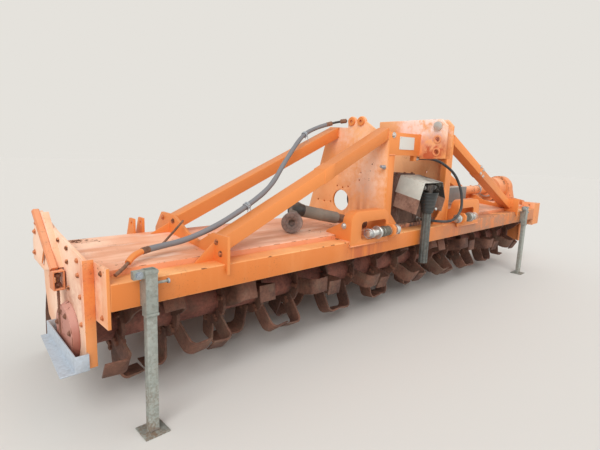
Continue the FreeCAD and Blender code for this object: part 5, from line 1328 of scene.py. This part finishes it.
@dataclass
class Hoses:
    """Sheathed hydraulic hose along the left braces, and the black loop hose."""

    sheath: float = 0.0125
    foot_sleeve: float = 0.0122
    pipe: float = 0.0068
    loop: float = 0.009
    sides: int = 20
    ferrules: tuple[float, ...] = (-1.836, -0.462, -0.4)
    tied: Pairs = ((-1.34, 0.3), (-0.666, -0.2))

    def build(self) -> None:
        """Lay both hoses and add their fittings and ties."""
        points = route_points(HOSE_ROUTE)
        for name, low, high, radius, finish, replaces in (
                ("hose_pipe_foot", -2.0, -1.905, self.pipe, Finish.PIPE, ()),
                ("hose_foot_sleeve", -1.93, -1.826, self.foot_sleeve, Finish.ORANGE, ()),
                ("hydraulic_hose_sheath", -1.84, -0.452, self.sheath, Finish.SHEATH, ("hydraulic_hose",)),
                ("hose_pipe_end", -0.478, 0.0, self.pipe, Finish.RUBBER, ())):
            self.cover(name, points[(points[:, 0] > low) & (points[:, 0] < high)], radius, finish, replaces)
        self.fittings(points)
        self.ties(points)
        self.loop_hose()

    def cover(self, name: str, points: np.ndarray, radius: float, finish: Finish, replaces: Sequence[str]) -> None:
        """Sweep a round skin along points, with a UV map that runs round it and down its length.

        Args:
            name: name of the piece.
            points: array of shape (n, 3).
            radius: mean radius, which swells a little in slow waves.
            finish: what covers it.
            replaces: CAD nodes that it stands for.
        """
        run = run_length(points)
        made = Surface().bar(points, radius * (1.0 + 0.03 * np.sin(run * 41.0)), self.sides)
        length = np.concatenate([[0.0], run, run[-1:]])
        i, j = (part.ravel() for part in np.meshgrid(np.arange(len(length) - 1), np.arange(self.sides), indexing="ij"))
        u, v = np.stack([j + 1, j + 1, j, j], 1) / self.sides, length[np.stack([i, i + 1, i + 1, i], 1)]
        made.piece(name, finish, smooth=60.0, replaces=replaces, uv=np.stack([u, v], 2))

    def fittings(self, points: np.ndarray) -> None:
        """Crimped ferrules where the hose's parts meet and at its two ends."""
        made = Surface()
        for x in self.ferrules:
            index = int(np.argmin(np.abs(points[:, 0] - x)))
            made.turned(CRIMP, points[index], points[index + 1] - points[index - 1], 20)
        made.piece("hose_ferrules", Finish.PIPE, smooth=30.0)

    def ties(self, points: np.ndarray) -> None:
        """Cords that hold the hose to the brace: a few turns and a knot with loose ends."""
        made = Surface()
        for x, slant in self.tied:
            index = int(np.argmin(np.abs(points[:, 0] - x)))
            spot, way = points[index], points[index + 1] - points[index - 1]
            unit = way / np.linalg.norm(way)
            for shift, lean in ((-0.008, 0.1), (-0.001, -0.12), (0.007, 0.05)):
                axis = unit + lean * np.array((0.0, slant, 1.0))
                made.bar(circle(spot + unit * shift, 0.0158, axis), 0.0026, 8)
            knot = spot + np.array((0.0, -0.017, 0.004))
            made.bar(circle(knot, 0.005, (0.3, 1.0, 0.4), 24), 0.003, 8)
            t = np.linspace(0.0, 1.0, 10)[:, None]
            for drop in (np.array((0.01, -0.006, -0.045)), np.array((-0.012, -0.004, -0.03))):
                bend = knot + drop * 0.5 + np.array((0.0, -0.006, 0.004))
                made.bar(knot * (1 - t) ** 2 + 2 * bend * t * (1 - t) + (knot + drop) * t ** 2, 0.0021, 6)
        made.piece("hose_ties", Finish.TIE, smooth=60.0)

    def loop_hose(self) -> None:
        """Free cord from the crosshead's port to the gearbox, with a ferrule at each end."""
        curve = nurbs("loop_hose_tube", LOOP_ROUTE)
        curve.bevel_depth = self.loop
        curve.bevel_resolution = 5
        curve.use_fill_caps = True
        curve.materials.append(Finish.RUBBER.material())
        loop = bpy.data.objects.new("loop_hose_tube", curve)
        bpy.context.scene.collection.objects.link(loop)
        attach(loop, Body.CHASSIS.value)
        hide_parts("loop_hose")
        (x, back, z), (x_end, back_end, z_end) = LOOP_ROUTE[0], LOOP_ROUTE[-1]
        ends = Surface().turned(FERRULE, (x, FACE + back, z), RIGHT, 24)
        ends.turned(FERRULE, (x_end, FACE + back_end + 0.0003, z_end), FORWARD, 24)
        ends.piece("loop_fittings", Finish.PIN, smooth=30.0)


# ---------------------------------------------------------------- stage


@dataclass
class Studio:
    """Pale floor, soft lights and the camera of the photograph."""

    place: Point = (-2.55, FACE - 1.47, 1.065)
    heading: float = 43.78
    dip: float = 9.759
    roll: float = 2.148
    focal_share: float = 433.336 / 600.0
    sensor: float = 36.0
    floor_half: float = 30.0
    sky: float = 0.66
    backdrop: Point = (0.783, 0.76, 0.716)
    suns: tuple[tuple[str, float, float, Point], ...] = (
        ("key", 1.95, 40.0, (50.0, 0.0, -52.0)), ("fill", 0.5, 60.0, (60.0, 0.0, 35.0)))

    def build(self) -> None:
        """Make the floor, the lights, the world and the camera."""
        self.floor()
        self.lights()
        self.camera()

    def floor(self) -> None:
        """Large flat floor."""
        mesh = bpy.data.meshes.new("floor")
        corners = [(x * self.floor_half, y * self.floor_half, 0.0) for x, y in ((-1, -1), (1, -1), (1, 1), (-1, 1))]
        mesh.from_pydata(corners, [], [(0, 1, 2, 3)])
        obj = bpy.data.objects.new("floor", mesh)
        obj.location.z = -0.001
        bpy.context.scene.collection.objects.link(obj)
        mesh.materials.append(Skin("floor_pale").finish(Base_Color=(0.68, 0.665, 0.635), Roughness=0.9))

    def lights(self) -> None:
        """Even world light that the camera sees as a pale backdrop, with two soft suns from the front."""
        world = bpy.data.worlds.new("studio")
        bpy.context.scene.world = world
        world.use_nodes = True
        g = Graph(world.node_tree)
        rays = [Wire(g, g.node("ShaderNodeLightPath").outputs[f"Is {kind} Ray"])
                for kind in ("Camera", "Glossy", "Transmission")]
        light = g.node("ShaderNodeBackground", None, {"Color": (1.0, 0.985, 0.96), "Strength": self.sky})
        pale = g.node("ShaderNodeBackground", None, {"Color": self.backdrop, "Strength": 1.0})
        both = g.node("ShaderNodeMixShader", None, {0: (rays[0] + rays[1] + rays[2]).clamped(), 1: light.outputs[0],
                                                    2: pale.outputs[0]})
        g.node("ShaderNodeOutputWorld", None, {"Surface": both.outputs[0]})
        for name, energy, angle, turn in self.suns:
            lamp = bpy.data.lights.new(name, "SUN")
            lamp.energy = energy
            lamp.angle = math.radians(angle)
            obj = bpy.data.objects.new(name, lamp)
            obj.rotation_euler = tuple(math.radians(value) for value in turn)
            bpy.context.scene.collection.objects.link(obj)

    def camera(self) -> None:
        """Camera whose axes follow from heading, dip and roll."""
        heading, dip, roll = (math.radians(value) for value in (self.heading, self.dip, self.roll))
        ahead = Vector((math.sin(heading) * math.cos(dip), math.cos(heading) * math.cos(dip), -math.sin(dip)))
        right = Vector((math.cos(heading), -math.sin(heading), 0.0))
        up = right.cross(ahead)
        side = right * math.cos(roll) + up * math.sin(roll)
        above = up * math.cos(roll) - right * math.sin(roll)
        camera = bpy.data.cameras.new("camera")
        camera.sensor_fit = "HORIZONTAL"
        camera.sensor_width = self.sensor
        camera.lens = self.sensor * self.focal_share
        obj = bpy.data.objects.new("camera", camera)
        axes = Matrix((side, above, -ahead)).transposed().to_4x4()
        obj.matrix_world = Matrix.Translation(self.place) @ axes
        bpy.context.scene.collection.objects.link(obj)
        bpy.context.scene.camera = obj


def main() -> None:
    """Build the studio and every sub-assembly."""
    logging.basicConfig(level=logging.INFO, format="%(message)s")
    bpy.context.scene.view_settings.view_transform = "Standard"
    for part in (Studio(), Hoses(), MainFrame(), Hitch(), Braces(), Hood(), EndPlates(), Rotor(), Board(), Stands(),
                 Drive(), HangingShaft(), LooseShaft()):
        log.info("building %s", type(part).__name__)
        part.build()


if __name__ == "__main__":
    main()
